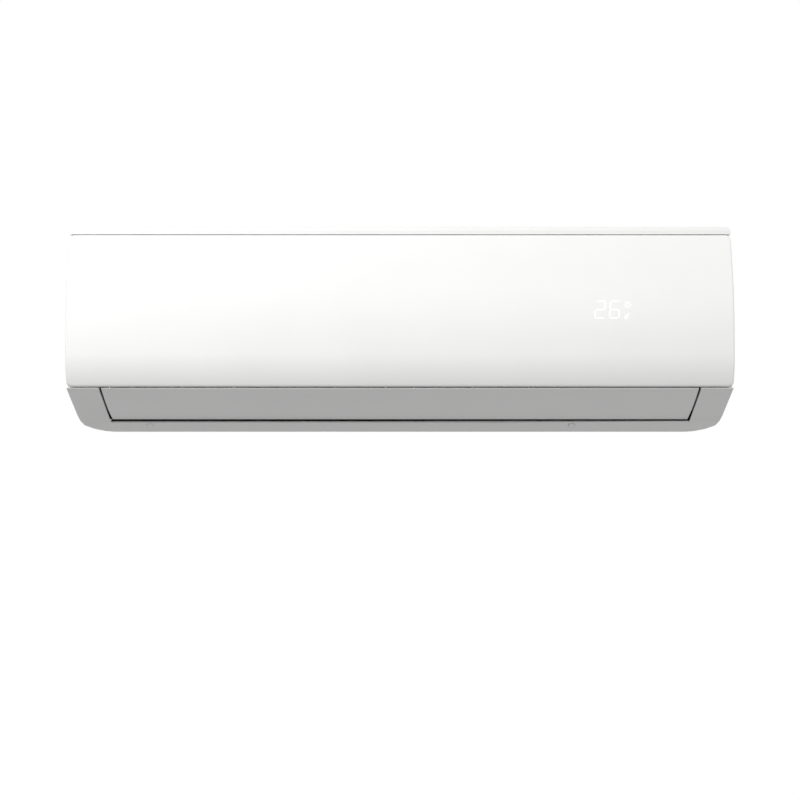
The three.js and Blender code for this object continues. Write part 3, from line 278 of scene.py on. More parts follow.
# The room: white to the camera, in reflections and through clear pieces, a dimmer even sky for the rest.
world = bpy.data.worlds.new("room")
bpy.context.scene.world = world
world.use_nodes = True
world.node_tree.nodes.clear()
ways = add(world.node_tree, "LightPath", {})
direct = larger(world.node_tree, ways.outputs["Is Camera Ray"], ways.outputs["Is Transmission Ray"])
shown = larger(world.node_tree, direct, ways.outputs["Is Glossy Ray"])
sky = add(world.node_tree, "Background", {"Color": (1, 1, 1, 1), "Strength": room["sky"]}).outputs[0]
white = add(world.node_tree, "Background", {"Color": (1, 1, 1, 1), "Strength": room["white"]}).outputs[0]
both = add(world.node_tree, "MixShader", {0: shown, 1: sky, 2: white}).outputs[0]
world.node_tree.links.new(both, add(world.node_tree, "OutputWorld", {}).inputs["Surface"])


# An object at the origin from points and faces, all its faces shaded smooth or all of them flat.
def meshObject(name, points, faces, smooth=True):
    mesh = bpy.data.meshes.new(name)
    mesh.from_pydata(np.asarray(points, float).reshape(-1, 3), [], faces)
    mesh.polygons.foreach_set("use_smooth", np.full(len(mesh.polygons), smooth))
    mesh.update()
    obj = bpy.data.objects.new(name, mesh)
    bpy.context.scene.collection.objects.link(obj)
    return obj


# Quads of a rows by columns grid of points numbered row by row, wrapped round where a direction closes.
def gridFaces(rows, columns, closeRows=False, closeColumns=False):
    r = np.arange(rows if closeRows else rows - 1)
    c = np.arange(columns if closeColumns else columns - 1)
    i, j = (a.ravel() for a in np.meshgrid(r, c, indexing="ij"))
    down, across = (i + 1) % rows, (j + 1) % columns
    return np.stack([i * columns + j, i * columns + across, down * columns + across, down * columns + j], 1)


# Merges points closer than a thousandth of a millimetre and turns the faces outwards.
def outward(obj):
    work = bmesh.new()
    work.from_mesh(obj.data)
    bmesh.ops.remove_doubles(work, verts=work.verts, dist=1e-6)
    bmesh.ops.recalc_face_normals(work, faces=work.faces)
    work.to_mesh(obj.data)
    work.free()
    return obj


# Smooth shading that keeps the edges sharper than this angle, with large faces ruling the normals.
def creased(obj, degrees):
    obj.data.polygons.foreach_set("use_smooth", np.full(len(obj.data.polygons), True))
    obj.data.set_sharp_from_angle(angle=radians(degrees))
    weighted = obj.modifiers.new("weighted", "WEIGHTED_NORMAL")
    weighted.keep_sharp = True
    return obj


# Gives a piece its material and the body it moves with, and hides the nodes it stands for; its slot is not
# used.
def finished(obj, materialName, body, slotName, *stands):
    obj.data.materials.clear()
    obj.data.materials.append(materials[materialName])
    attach(obj, body)
    if stands:
        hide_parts(*stands)
    return obj


# A node's own shape made anew: its points merged, its flat parts joined and its curved runs shaded
# smooth up to this many degrees.
def smoothCopy(name, materialName, body, slotName, degrees):
    data = nodes[name].data
    points = np.empty(len(data.vertices) * 3)
    data.vertices.foreach_get("co", points)
    corners = np.empty(len(data.loops), int)
    data.loops.foreach_get("vertex_index", corners)
    merged, index = np.unique(np.round(points.reshape(-1, 3), 6), axis=0, return_inverse=True)
    triangles = index.reshape(-1)[corners].reshape(-1, 3)
    whole = (triangles != np.roll(triangles, 1, 1)).all(1)
    obj = meshObject(name + "_smooth", merged, triangles[whole].tolist())
    work = bmesh.new()
    work.from_mesh(obj.data)
    bmesh.ops.dissolve_limit(work, angle_limit=radians(0.4), verts=work.verts, edges=work.edges)
    work.to_mesh(obj.data)
    work.free()
    return finished(creased(outward(obj), degrees), materialName, body, slotName, name)


# Axis-parallel boxes from arrays of their lowest and highest corners.
def manyBoxes(lows, highs):
    lows, highs = np.asarray(lows, float), np.asarray(highs, float)
    pick = np.array([[x, y, z] for x in (0, 1) for y in (0, 1) for z in (0, 1)])
    points = np.where(pick[None] == 1, highs[:, None], lows[:, None]).reshape(-1, 3)
    quads = np.array([[0, 1, 3, 2], [4, 6, 7, 5], [0, 4, 5, 1], [2, 3, 7, 6], [0, 2, 6, 4], [1, 5, 7, 3]])
    return points, (quads[None] + 8 * np.arange(len(lows))[:, None, None]).reshape(-1, 4).tolist()


# Closed prisms along X: sections is (count, sides, 2) of y and z, carried from starts to ends.
def prisms(sections, starts, ends):
    sections = np.asarray(sections, float)
    count, sides = sections.shape[:2]
    xs = np.stack([np.broadcast_to(starts, count), np.broadcast_to(ends, count)], 1)
    points = np.concatenate([np.broadcast_to(xs[:, :, None, None], (count, 2, sides, 1)),
                             np.broadcast_to(sections[:, None], (count, 2, sides, 2))], 3)
    a = np.arange(sides)
    b = (a + 1) % sides
    walls = np.stack([a, b, b + sides, a + sides], 1)
    base = (2 * sides * np.arange(count))[:, None, None]
    quads = (walls[None] + base).reshape(-1, 4).tolist()
    caps = np.stack([a[::-1], a + sides])
    return points.reshape(-1, 3), quads + (caps[None] + base).reshape(-1, sides).tolist()


# Joins (points, faces) pairs into one list of each.
def gathered(parts):
    points, faces, start = [], [], 0
    for partPoints, partFaces in parts:
        points.append(np.asarray(partPoints, float).reshape(-1, 3))
        faces += [[v + start for v in face] for face in partFaces]
        start += len(points[-1])
    return np.concatenate(points), faces


# A round tube: each ring stands square to the path, turned from the last one as little as may be.
def tubeAlong(path, radius, sides):
    path = np.asarray(path, float)
    ahead = np.gradient(path, axis=0)
    ahead /= np.linalg.norm(ahead, axis=1, keepdims=True)
    side = np.cross(ahead[0], [0.0, 0.0, 1.0] if abs(ahead[0][2]) < 0.9 else [0.0, 1.0, 0.0])
    angle = np.linspace(0, 2 * pi, sides, endpoint=False)[:, None]
    rings = []
    for point, way in zip(path, ahead):
        side = side - way * side.dot(way)
        side /= np.linalg.norm(side)
        rings.append(point + radius * (np.cos(angle) * side + np.sin(angle) * np.cross(way, side)))
    last = (len(path) - 1) * sides
    faces = gridFaces(len(path), sides, closeColumns=True).tolist()
    return np.concatenate(rings), faces + [list(range(sides))[::-1], list(range(last, last + sides))]


# A closed profile of x and radius turned about a line along X through a centre of y and z.
def turned(profile, centre, sides):
    profile = np.asarray(profile, float)
    angle = np.linspace(0, 2 * pi, sides, endpoint=False)
    x = np.broadcast_to(profile[:, :1], (len(profile), sides))
    y = centre[0] + profile[:, 1:] * np.cos(angle)
    z = centre[1] + profile[:, 1:] * np.sin(angle)
    return np.stack([x, y, z], 2).reshape(-1, 3), gridFaces(len(profile), sides, True, True).tolist()


# Centripetal Catmull-Rom curve: each span blends its four knots by the square roots of their distances.
def smoothPath(knots, steps):
    knots = np.asarray(knots, float)
    knots = np.concatenate([[2 * knots[0] - knots[1]], knots, [2 * knots[-1] - knots[-2]]])
    spans = []
    for p0, p1, p2, p3 in zip(knots, knots[1:], knots[2:], knots[3:]):
        t0 = 0.0
        t1 = t0 + np.linalg.norm(p1 - p0) ** 0.5
        t2 = t1 + np.linalg.norm(p2 - p1) ** 0.5
        t3 = t2 + np.linalg.norm(p3 - p2) ** 0.5
        t = np.linspace(t1, t2, steps, endpoint=False)[:, None]
        a1 = (t1 - t) / (t1 - t0) * p0 + (t - t0) / (t1 - t0) * p1
        a2 = (t2 - t) / (t2 - t1) * p1 + (t - t1) / (t2 - t1) * p2
        a3 = (t3 - t) / (t3 - t2) * p2 + (t - t2) / (t3 - t2) * p3
        b1 = (t2 - t) / (t2 - t0) * a1 + (t - t0) / (t2 - t0) * a2
        b2 = (t3 - t) / (t3 - t1) * a2 + (t - t1) / (t3 - t1) * a3
        spans.append((t2 - t) / (t2 - t1) * b1 + (t - t1) / (t2 - t1) * b2)
    return np.concatenate(spans + [knots[-2:-1]])


steps = np.linspace(-room["reach"], room["reach"], room["cells"])
floorX, floorY = np.meshgrid(steps, steps)
floorPoints = np.stack([floorX, floorY, np.full_like(floorX, room["floor"])], 2)
floor = meshObject("floor", floorPoints, gridFaces(room["cells"], room["cells"]).tolist())
floor.data.materials.append(materials["floor"])
print("room made")


# Front panel: a bulged face with a rounded outline, its rim turned back to the frame.
panel = {
    "halfWidth": 400 * mm, "low": -69.2 * mm, "high": 114.7 * mm, "front": -199.9 * mm,
    "bulge": -30 * mm, "topBack": 33 * mm, "lowBack": 10 * mm,
    "corner": 6 * mm, "edge": 2.6 * mm, "wall": 2.5 * mm,
    "footBack": -183 * mm, "headBack": -161 * mm,  # where the lower and upper rims end
    "sideGap": 0.4 * mm, "headGap": 3 * mm, "headOver": 6 * mm,  # side rims off the frame, wider at the head
    "lugAt": 388 * mm, "lugRoom": 5 * mm, "lugBack": -164.1 * mm,
    "pinAt": (-163.8 * mm, 111.1 * mm), "pinRadius": 1.6 * mm, "pinEnds": (385.2 * mm, 398.5 * mm),
    "columns": 170, "columnCrowd": 2.6, "rows": 84, "rowCrowd": 1.8,
}
panelMiddle = (panel["low"] + panel["high"]) / 2
panelHalf = (panel["high"] - panel["low"]) / 2
frameFront = {"foot": -180 * mm, "footUnder": -57 * mm, "from": (-185 * mm, -48 * mm), "lean": 0.2}


# Depth of the face: from the bulge it falls back by the power of 2.2 upwards and by the square downwards.
def panelFace(z):
    up = np.clip((z - panel["bulge"]) / (panel["high"] - panel["bulge"]), 0, 1)
    down = np.clip((panel["bulge"] - z) / (panel["bulge"] - panel["low"]), 0, 1)
    return panel["front"] + panel["topBack"] * up ** 2.2 + panel["lowBack"] * down ** 2


# Depth of the frame's wall behind the panel: a line that leans back a fifth of its rise, and a flat foot.
def frameWall(z):
    y, height = frameFront["from"]
    return np.where(z < frameFront["footUnder"], frameFront["foot"], y + frameFront["lean"] * (z - height))


# Values from -1 to 1 that crowd together towards both ends: one less the distance to the end to a power.
def eased(count, power):
    t = np.linspace(-1, 1, count)
    return np.sign(t) * (1 - (1 - np.abs(t)) ** power)


# The face's grid: each row is as long as the rounded outline lets it be, and the fillet's depth
# follows a quarter circle of the distance to that outline.
def roundedFace():
    z = panelMiddle + panelHalf * eased(panel["rows"], panel["rowCrowd"])
    inCorner = np.clip(panel["corner"] - (panelHalf - np.abs(z - panelMiddle)), 0, panel["corner"])
    length = panel["halfWidth"] - panel["corner"] + np.sqrt(panel["corner"] ** 2 - inCorner ** 2)
    x = length[:, None] * eased(panel["columns"], panel["columnCrowd"])[None]
    z = np.broadcast_to(z[:, None], x.shape)
    beyondX = np.abs(x) - (panel["halfWidth"] - panel["corner"])
    beyondZ = np.abs(z - panelMiddle) - (panelHalf - panel["corner"])
    outside = np.hypot(np.maximum(beyondX, 0), np.maximum(beyondZ, 0))
    inside = panel["corner"] - outside - np.minimum(np.maximum(beyondX, beyondZ), 0)
    r = panel["edge"]
    y = panelFace(z) + r - np.sqrt(np.maximum(r ** 2 - np.maximum(r - inside, 0) ** 2, 0))
    return np.stack([x, y, z], 2)


# Where the rim ends behind each point of the outline: at the frame along the sides, and short of it
# at the head and foot, which swing, with room for the two hinge lugs.
def rimBack(edge):
    x, z = np.abs(edge[:, 0]), edge[:, 2]
    nearHead = np.clip((z - panel["high"] + panel["headOver"]) / panel["headOver"], 0, 1)
    back = frameWall(z) - panel["sideGap"] - panel["headGap"] * nearHead
    between = x < panel["halfWidth"] - panel["wall"]
    back = np.where(between, np.where(z > panelMiddle, panel["headBack"], panel["footBack"]), back)
    lug = (np.abs(x - panel["lugAt"]) < panel["lugRoom"]) & (z > panelMiddle)
    return np.where(lug, panel["lugBack"], back)


# Outer face, rim, and the same again one wall further in, closed into one body.
def frontPanel():
    face = roundedFace()
    rows, columns = face.shape[:2]
    edge = np.concatenate([face[0, :-1], face[:-1, -1], face[-1, :0:-1], face[:0:-1, 0]])
    inward = 1 - panel["wall"] / np.array([panel["halfWidth"], panelHalf])
    back = edge.copy()
    back[:, 1] = rimBack(edge)
    innerBack = back.copy()
    innerBack[:, 0] *= inward[0]
    innerBack[:, 2] = panelMiddle + (back[:, 2] - panelMiddle) * inward[1]
    inner = face.copy()
    inner[..., 0] *= inward[0]
    inner[..., 2] = panelMiddle + (face[..., 2] - panelMiddle) * inward[1]
    inner[..., 1] = panelFace(inner[..., 2]) + panel["wall"]
    points = np.concatenate([face.reshape(-1, 3), back, innerBack, inner.reshape(-1, 3)])
    outline = np.concatenate([np.arange(columns - 1), np.arange(rows - 1) * columns + columns - 1,
                              (rows - 1) * columns + np.arange(columns - 1, 0, -1),
                              np.arange(rows - 1, 0, -1) * columns])
    start, count = rows * columns, len(edge)
    around = np.arange(count)
    rings = [outline, start + around, start + count + around, start + 2 * count + outline]
    grid = gridFaces(rows, columns)
    walls = [np.stack([one, np.roll(one, -1), np.roll(two, -1), two], 1)
             for one, two in zip(rings, rings[1:])]
    return points, np.concatenate([grid, grid + start + 2 * count, *walls]).tolist()


panelShell = creased(outward(meshObject("front_panel_shell", *frontPanel())), 50)
finished(panelShell, "glossAbs", "panel", "white_abs_gloss", "front_panel")
pins = [tubeAlong([[hand * x, *panel["pinAt"]] for x in np.linspace(*panel["pinEnds"], 3)],
                  panel["pinRadius"], 16) for hand in (-1, 1)]
hingePins = creased(outward(meshObject("panel_hinge_pins", *gathered(pins))), 40)
finished(hingePins, "glossAbs", "panel", "white_abs_gloss")
print("front panel made")


# Display: two seven-segment digits and two small marks, shown on the panel over its thinned window.
display = {
    "digits": ((232.9 * mm, "abged"), (250.2 * mm, "acdefg")),  # x of the left stroke's foot, lit segments
    "top": 33.1 * mm, "width": 11.2 * mm, "height": 20.2 * mm, "stroke": 2.1 * mm, "slant": 0.08,
    "between": 0.35 * mm, "proud": 0.06 * mm, "sunk": 0.3 * mm,
    "sun": (272.1 * mm, 29.1 * mm), "sunRing": (2.7 * mm, 1.6 * mm), "rays": (3.3 * mm, 4.8 * mm, 0.5 * mm),
    "drop": (271.4 * mm, 15.4 * mm), "dropSize": (3.0 * mm, 4.6 * mm), "dropTurn": radians(38),
}


# A thin plate on the panel's face from a flat outline of x and z: its front stands proud of the face
# and its back is sunk in it.
def patch(corners):
    corners = np.asarray(corners, float)
    x, z = corners[:, 0], corners[:, 1]
    front = np.stack([x, panelFace(z) - display["proud"], z], 1)
    back = front + [0, display["proud"] + display["sunk"], 0]
    a = np.arange(len(corners))
    b = np.roll(a, -1)
    walls = np.stack([a, b, b + len(a), a + len(a)], 1).tolist()
    return np.concatenate([front, back]), walls + [a[::-1].tolist(), (a + len(a)).tolist()]


# One of the seven segments, a bar with pointed ends: x grows by the slant times the height over the foot.
def segment(letter, left, top):
    w, h, s, gap = display["width"], display["height"], display["stroke"] / 2, display["between"]
    level = {"a": 0, "g": -h / 2, "d": -h}
    if letter in level:
        z = level[letter]
        flat = [(gap, z), (s + gap, z + s), (w - s - gap, z + s),
                (w - gap, z), (w - s - gap, z - s), (s + gap, z - s)]
    else:
        x = 0 if letter in "fe" else w
        high, low = (-gap, -h / 2 + gap) if letter in "fb" else (-h / 2 - gap, -h + gap)
        flat = [(x, high), (x + s, high - s), (x + s, low + s),
                (x, low), (x - s, low + s), (x - s, high - s)]
    return [(left + x + display["slant"] * (z + h), top + z) for x, z in flat]


# Quads of a flat ring between two radii about a centre.
def ring(centre, outer, inner, sides):
    angle = np.linspace(0, 2 * pi, sides + 1)
    way = np.stack([np.cos(angle), np.sin(angle)], 1)
    out, into = way * outer + centre, way * inner + centre
    return [[out[i], into[i], into[i + 1], out[i + 1]] for i in range(sides)]


# A short bar that points away from the centre, from one distance to another.
def ray(centre, angle, near, far, halfWide):
    way = np.array([np.cos(angle), np.sin(angle)])
    side = np.array([-way[1], way[0]]) * halfWide
    start, stop = centre + way * near, centre + way * far
    return [start + side, start - side, stop - side, stop + side]


# A drop: a circle narrowed to a point at its top by the half angle's sine to the power of 1.5, then turned
# clockwise.
def drop(centre, wide, high, turn):
    angle = np.linspace(0, 2 * pi, 20, endpoint=False)
    x, z = wide * np.sin(angle) * np.sin(angle / 2) ** 1.5, high * np.cos(angle)
    return np.stack([centre[0] + x * np.cos(turn) + z * np.sin(turn),
                     centre[1] - x * np.sin(turn) + z * np.cos(turn)], 1)


shapes = [segment(letter, left, display["top"]) for left, letters in display["digits"] for letter in letters]
shapes += ring(np.array(display["sun"]), *display["sunRing"], 20)
near, far, thick = display["rays"]
shapes += [ray(np.array(display["sun"]), k * pi / 4, near, far, thick) for k in range(8)]
shapes.append(drop(display["drop"], *display["dropSize"], display["dropTurn"]))
digits = outward(meshObject("display_digits", *gathered([patch(shape) for shape in shapes]), smooth=False))
finished(digits, "lit", "panel", "display_window")
print("display made")


# Outside mouldings and the plainer pieces behind them, each with its node's own shape: material, body, slot
# and the greatest angle in degrees that is shaded smooth.
smoothed = {
    "front_frame": ("satinAbs", "root", "white_abs_satin", 30),
    "horizontal_vane": ("satinAbs", "vane", "white_abs_satin", 30),
    "screw_cap_left": ("satinAbs", "root", "white_abs_satin", 40),
    "screw_cap_right": ("satinAbs", "root", "white_abs_satin", 40),
    "emergency_button": ("satinAbs", "button", "grey_moulding", 40),
    # the chassis and the duct take the dark grey that stands in as painted shade in the gaps round the vane
    "rear_chassis": ("ductShadeDarkPs", "root", "dark_moulding", 30),
    "outlet_duct": ("ductShadeDarkPs", "root", "dark_moulding", 30),
    "motor_clamp": ("greyPs", "root", "grey_moulding", 30),
    "vane_motor": ("coverPs", "root", "grey_moulding", 40),
    "fan_motor": ("resin", "root", "motor_resin", 40),
    "motor_shaft": ("shaftSteel", "fan", "galvanised_steel", 40),
    "fan_bearing": ("rubber", "root", "bearing_rubber", 40),
    "drain_plug": ("rubber", "root", "dark_moulding", 40),
    "mounting_plate": ("zinc", "root", "galvanised_steel", 40),
    "suction_flare_nut": ("brass", "root", "nut_brass", 40),
    "liquid_flare_nut": ("brass", "root", "nut_brass", 40),
    "pipe_clamp": ("blackNylon", "root", "dark_moulding", 40),
    "coil_sensor": ("copper", "root", "coil_copper", 40),
    "room_sensor": ("blackNylon", "root", "dark_moulding", 40),
    "frame_screw_left": ("zinc", "root", "galvanised_steel", 40),
    "frame_screw_right": ("zinc", "root", "galvanised_steel", 40),
}
made = {name: smoothCopy(name, *look) for name, look in smoothed.items()}


# Moves a copy's points by a function that takes their x, y and z and returns them.
def reshaped(name, shift):
    mesh = made[name].data
    points = np.empty(len(mesh.vertices) * 3)
    mesh.vertices.foreach_get("co", points)
    before = points.reshape(-1, 3)
    after = np.stack(shift(*before.T), 1)
    mesh.vertices.foreach_set("co", after.ravel())
    mesh.update()
    print("points moved on", name + ":", int((np.abs(after - before).max(1) > 1e-6).sum()))


# Edges set as in the photograph: the ledge under the panel and the vane's front edge are let down, and the
# lip's upper edge goes down and back, so that the gap over it is wider and its rim lies in the vane's shade.
# All in millimetres: the heights an edge lies between, its reach from the middle, and its move back and up.
shifts = {
    "ledge": {"z": (-68.75, -68.65), "inside": 401, "by": (0, -1.7)},
    "tip": {"z": (-109.0, -108.7), "inside": 361.6, "by": (2.2, -2.4)},
    "rim": {"z": (-111.4, -110.9), "inside": 361.6, "by": (2.1, -1.6)},
    "vaneEdge": {"z": (-69.9, -69.7), "inside": 401, "by": (0, -0.6)},
}


# The move of one edge: points between its two heights and within its reach go back and up, others stay.
def edgeShift(edge):
    low, high = np.array(edge["z"]) * mm
    back, up = np.array(edge["by"]) * mm

    def shift(x, y, z):
        picked = (z > low) & (z < high) & (np.abs(x) < edge["inside"] * mm)
        return x, y + back * picked, z + up * picked

    return shift


# Lower corners as broad as in the photograph: points near the ends go inwards by an amount that is read
# off a table of heights and insets.
corner = {"heights": np.array([-125, -124, -121.2, -116.8, -111]) * mm,
          "insets": np.array([22, 16.2, 8.3, 1.2, 0]) * mm, "from": 365 * mm}


def cornerShift(x, y, z):
    inset = np.interp(z, corner["heights"], corner["insets"]) * (np.abs(x) > corner["from"])
    return x - np.sign(x) * inset, y, z


for key in ("ledge", "tip", "rim"):
    reshaped("front_frame", edgeShift(shifts[key]))
reshaped("horizontal_vane", edgeShift(shifts["vaneEdge"]))
reshaped("front_frame", cornerShift)
reshaped("rear_chassis", cornerShift)
print("smoothed pieces made:", len(smoothed))

# Near-black foam strips stuck behind the frame, which close the gaps round the outlet as painted shade: one
# under the duct floor's edge and a pad beyond each end of the duct.
foam = {
    "lipSection": np.array([[-85.0, -108.9], [-83.2, -109.3], [-81.9, -112.2], [-82.9, -111.7]]) * mm,
    "lipHalf": 361 * mm,
    "padFrom": np.array([364.3, -80, -109]) * mm, "padTo": np.array([379, -77, -92]) * mm,
}
padEnds = np.array([foam["padFrom"], foam["padTo"]])
padEnds = np.stack([padEnds, padEnds * [-1, 1, 1]])
strips = outward(meshObject("outlet_gap_shade_foam", *gathered([
    prisms([foam["lipSection"]], -foam["lipHalf"], foam["lipHalf"]),
    manyBoxes(padEnds.min(1), padEnds.max(1))]), smooth=False))
finished(strips, "foam", "root", "dark_moulding")
print("foam strips made")


# Top grille: slim bars along the unit with rounded tops, over cross bars, in a flat border.
grille = {
    "x": 365.6 * mm, "y": (-145.6 * mm, -37.4 * mm), "z": (121.4 * mm, 124.8 * mm),
    "border": 5 * mm, "into": 0.5 * mm,  # how far the bars run into the border
    "rails": 13, "railWide": 2.4 * mm, "railUp": 0.4 * mm,
    "crossBars": 24, "crossWide": 1.8 * mm, "crossDown": 0.9 * mm,
}


# Section of a rail: straight sides and a half-round top of the rail's own width.
def railSections(ys, wide, low, high):
    angle = np.linspace(0, pi, 7)
    r = wide / 2
    top = np.stack([r * np.cos(angle), high - r + r * np.sin(angle)], 1)
    section = np.concatenate([[[-r, low], [r, low]], top])
    return np.stack([section + [y, 0] for y in ys])


low, high = grille["z"]
front, back = grille["y"]
edge = grille["border"]
end = grille["x"]
border = manyBoxes(
    [[-end, front, low], [-end, back - edge, low],
     [-end, front + edge, low], [end - edge, front + edge, low]],
    [[end, front + edge, high], [end, back, high],
     [edge - end, back - edge, high], [end, back - edge, high]])
railY = np.linspace(front + edge, back - edge, grille["rails"] + 2)[1:-1]
railEnd = end - edge + grille["into"]
rails = prisms(railSections(railY, grille["railWide"], low + grille["railUp"], high), -railEnd, railEnd)
crossX = np.linspace(edge - end, end - edge, grille["crossBars"] + 2)[1:-1]
crossLow = np.array([-grille["crossWide"] / 2, front + edge - grille["into"], low])
crossHigh = np.array([grille["crossWide"] / 2, back - edge + grille["into"], high - grille["crossDown"]])
crossPlace = np.stack([crossX, 0 * crossX, 0 * crossX], 1)
crossBars = manyBoxes(crossPlace + crossLow, crossPlace + crossHigh)
topGrille = creased(outward(meshObject("intake_grille_bars", *gathered([border, rails, crossBars]))), 40)
finished(topGrille, "satinAbs", "root", "white_abs_satin", "intake_grille")
print("grille made")


# Coil: three blocks of foil fins between end sheets, and outside these the hairpin bends of the tubes,
# whose straight runs are hidden in the fins and left out.
coil = {
    "blocks": {
        "evaporator_front_lower": ((-161.7 * mm, -43 * mm), (-145.3 * mm, 38 * mm)),
        "evaporator_front_upper": ((-141.8 * mm, 46 * mm), (-103 * mm, 92 * mm)),
        "evaporator_rear": ((-86 * mm, 93 * mm), (-24.7 * mm, 38.5 * mm)),
    },
    "x": (-358.5 * mm, 219 * mm), "pitch": 1.8 * mm, "foil": 0.3 * mm, "half": 11 * mm,
    "sheet": 1.2 * mm, "sheetHalf": 10.4 * mm, "sheetAt": {"left": -358.9 * mm, "right": 219.4 * mm},
    "tieOver": 3 * mm, "tieHalf": 4 * mm,
    "tube": 3.5 * mm, "aside": 4.95 * mm, "apart": 7 * mm, "straight": 3.2 * mm,
    "bendAt": (0.14, 0.5, 0.86),  # shares of a block's length
}


# The vector of length 1 that points the same way.
def unit(vector):
    return vector / np.linalg.norm(vector)


# The four corners of a band of even thickness between two ends in y and z.
def bandCorners(start, stop, halfThick):
    along = unit(stop - start)
    aside = np.array([-along[1], along[0]]) * halfThick
    return np.array([start + aside, start - aside, stop - aside, stop + aside])


# Bands of the end sheets: one on each block, and a tie from each block's end over to the next one's start.
def sheetBands(ends):
    bands = [bandCorners(start, stop, coil["sheetHalf"]) for start, stop in ends]
    for (_, stop), (start, _) in zip(ends, ends[1:]):
        over = unit(start - stop) * coil["tieOver"]
        bands.append(bandCorners(stop - over, start + over, coil["tieHalf"]))
    return np.array(bands)


# Path of a hairpin bend in x, y and z: straight out of the sheet, round a half circle and straight back.
def hairpinPath(x, hand, centre, along):
    turn = np.linspace(-pi / 2, pi / 2, 15)
    out = np.concatenate([[0], coil["straight"] + coil["apart"] * np.cos(turn), [0]])
    across = np.concatenate([[-coil["apart"]], coil["apart"] * np.sin(turn), [coil["apart"]]])
    return np.stack([x + hand * out, centre[0] + along[0] * across, centre[1] + along[1] * across], 1)


finX = np.arange(coil["x"][0], coil["x"][1] - coil["foil"], coil["pitch"])
blockEnds = {name: np.array(ends) for name, ends in coil["blocks"].items()}
for name, ends in blockEnds.items():
    corners = np.broadcast_to(bandCorners(*ends, coil["half"]), (len(finX), 4, 2))
    block = meshObject(name + "_fins", *prisms(corners, finX, finX + coil["foil"]), smooth=False)
    finished(outward(block), "fins", "root", "fin_aluminium", name)

for hand, side in ((-1, "left"), (1, "right")):
    x0 = coil["sheetAt"][side]
    x1 = x0 + hand * coil["sheet"]
    bands = sheetBands(list(blockEnds.values()))
    sheets = meshObject(f"coil_sheets_{side}", *prisms(bands, min(x0, x1), max(x0, x1)), smooth=False)
    finished(outward(sheets), "zinc", "root", "coil_copper", f"coil_bends_{side}")
    bends = []
    for name, (start, stop) in blockEnds.items():
        along = unit(stop - start)
        aside = np.array([-along[1], along[0]]) * coil["aside"]
        # at the right the rear block has one bend fewer, because the two pipes leave it there
        shares = coil["bendAt"][:-1] if hand > 0 and name == "evaporator_rear" else coil["bendAt"]
        for k, share in enumerate(shares):
            centre = start + (stop - start) * share + aside * (-1 if k % 2 else 1)
            path = hairpinPath((x0 + x1) / 2, hand, centre, along)
            bends.append(tubeAlong(path, coil["tube"], 16))
    hairpins = creased(outward(meshObject(f"coil_hairpins_{side}", *gathered(bends))), 50)
    finished(hairpins, "copper", "root", "coil_copper")
print("coil made:", len(finX), "fins a block")


# Pipes: drawn copper from the rear block round the motor's back and along the channel.
pipeRuns = {
    "suction_pipe": {"radius": 6 * mm, "knots": [
        (222.6, -66.384, 75.56), (241.6, -66.384, 75.56), (244.6, -63.384, 70.56), (244.6, -25, 22),
        (244.6, -25, -51), (238.6, -24, -78), (222.6, -24, -85), (60, -24, -85), (-60, -24, -85)]},
    "liquid_pipe": {"radius": 3.2 * mm, "knots": [
        (222.6, -35.734, 48.31), (229, -35.734, 48.31), (232, -32.734, 43.31), (232, -38.5, 22),
        (232, -38.5, -67), (226, -38, -94), (210, -38, -101), (60, -38, -101), (-40, -38, -101)]},
}
for name, run in pipeRuns.items():
    path = smoothPath(np.array(run["knots"]) * mm, 12)
    piece = creased(outward(meshObject(name + "_round", *tubeAlong(path, run["radius"], 24))), 50)
    finished(piece, "copper", "root", "coil_copper", name)
print("pipes made")


# Cross-flow fan: slim curved blades in short bays between discs, a stub at the left and a hub at the right.
fan = {
    "centre": (-82 * mm, -4 * mm), "x": (-355.5 * mm, 214 * mm), "blades": 35, "bays": 9,
    "outer": 43.6 * mm, "inner": 33 * mm, "lean": -0.16, "bow": 2.4 * mm, "thick": 1.5 * mm, "tip": 0.35,
    "disc": 2.5 * mm, "rim": 44 * mm, "rimEase": 0.5 * mm, "opening": 29 * mm, "bladeIn": 0.5 * mm,
    "stub": 4 * mm, "stubEnd": -369.5 * mm, "stubEase": 0.6 * mm, "pinhole": 0.6 * mm,
    "hub": 14 * mm, "hubLength": 20 * mm, "hubEase": 1 * mm, "bore": 4.4 * mm,
    "into": 1 * mm,  # how far the stub and the hub run into the end discs
}


# Sections of all blades: a bowed line from the tip to the root, thickest at its middle by a sine,
# then turned by equal steps.
def fanSections():
    t = np.linspace(0, 1, 7)[:, None]
    tip = np.array([fan["outer"], 0.0])
    root = fan["inner"] * np.array([np.cos(fan["lean"]), np.sin(fan["lean"])])
    along = unit(root - tip)
    aside = np.array([along[1], -along[0]])
    line = tip + (root - tip) * t + aside * 4 * fan["bow"] * t * (1 - t)
    half = aside * fan["thick"] / 2 * (fan["tip"] + (1 - fan["tip"]) * np.sin(pi * t))
    section = np.concatenate([line + half, (line - half)[::-1]])
    angle = np.linspace(0, 2 * pi, fan["blades"], endpoint=False)[:, None]
    u, v = section[None, :, 0], section[None, :, 1]
    y = fan["centre"][0] + u * np.cos(angle) - v * np.sin(angle)
    z = fan["centre"][1] + u * np.sin(angle) + v * np.cos(angle)
    return np.stack([y, z], 2)


# Profile of a disc, stub or hub in x and radius: its near edge is eased, its far one only if asked for.
def roundProfile(near, far, inner, outer, ease, easeFar=False):
    end = [[far - ease, outer], [far, outer - ease]] if easeFar else [[far, outer]]
    return [[near, inner], [near, outer - ease], [near + ease, outer], *end, [far, inner]]


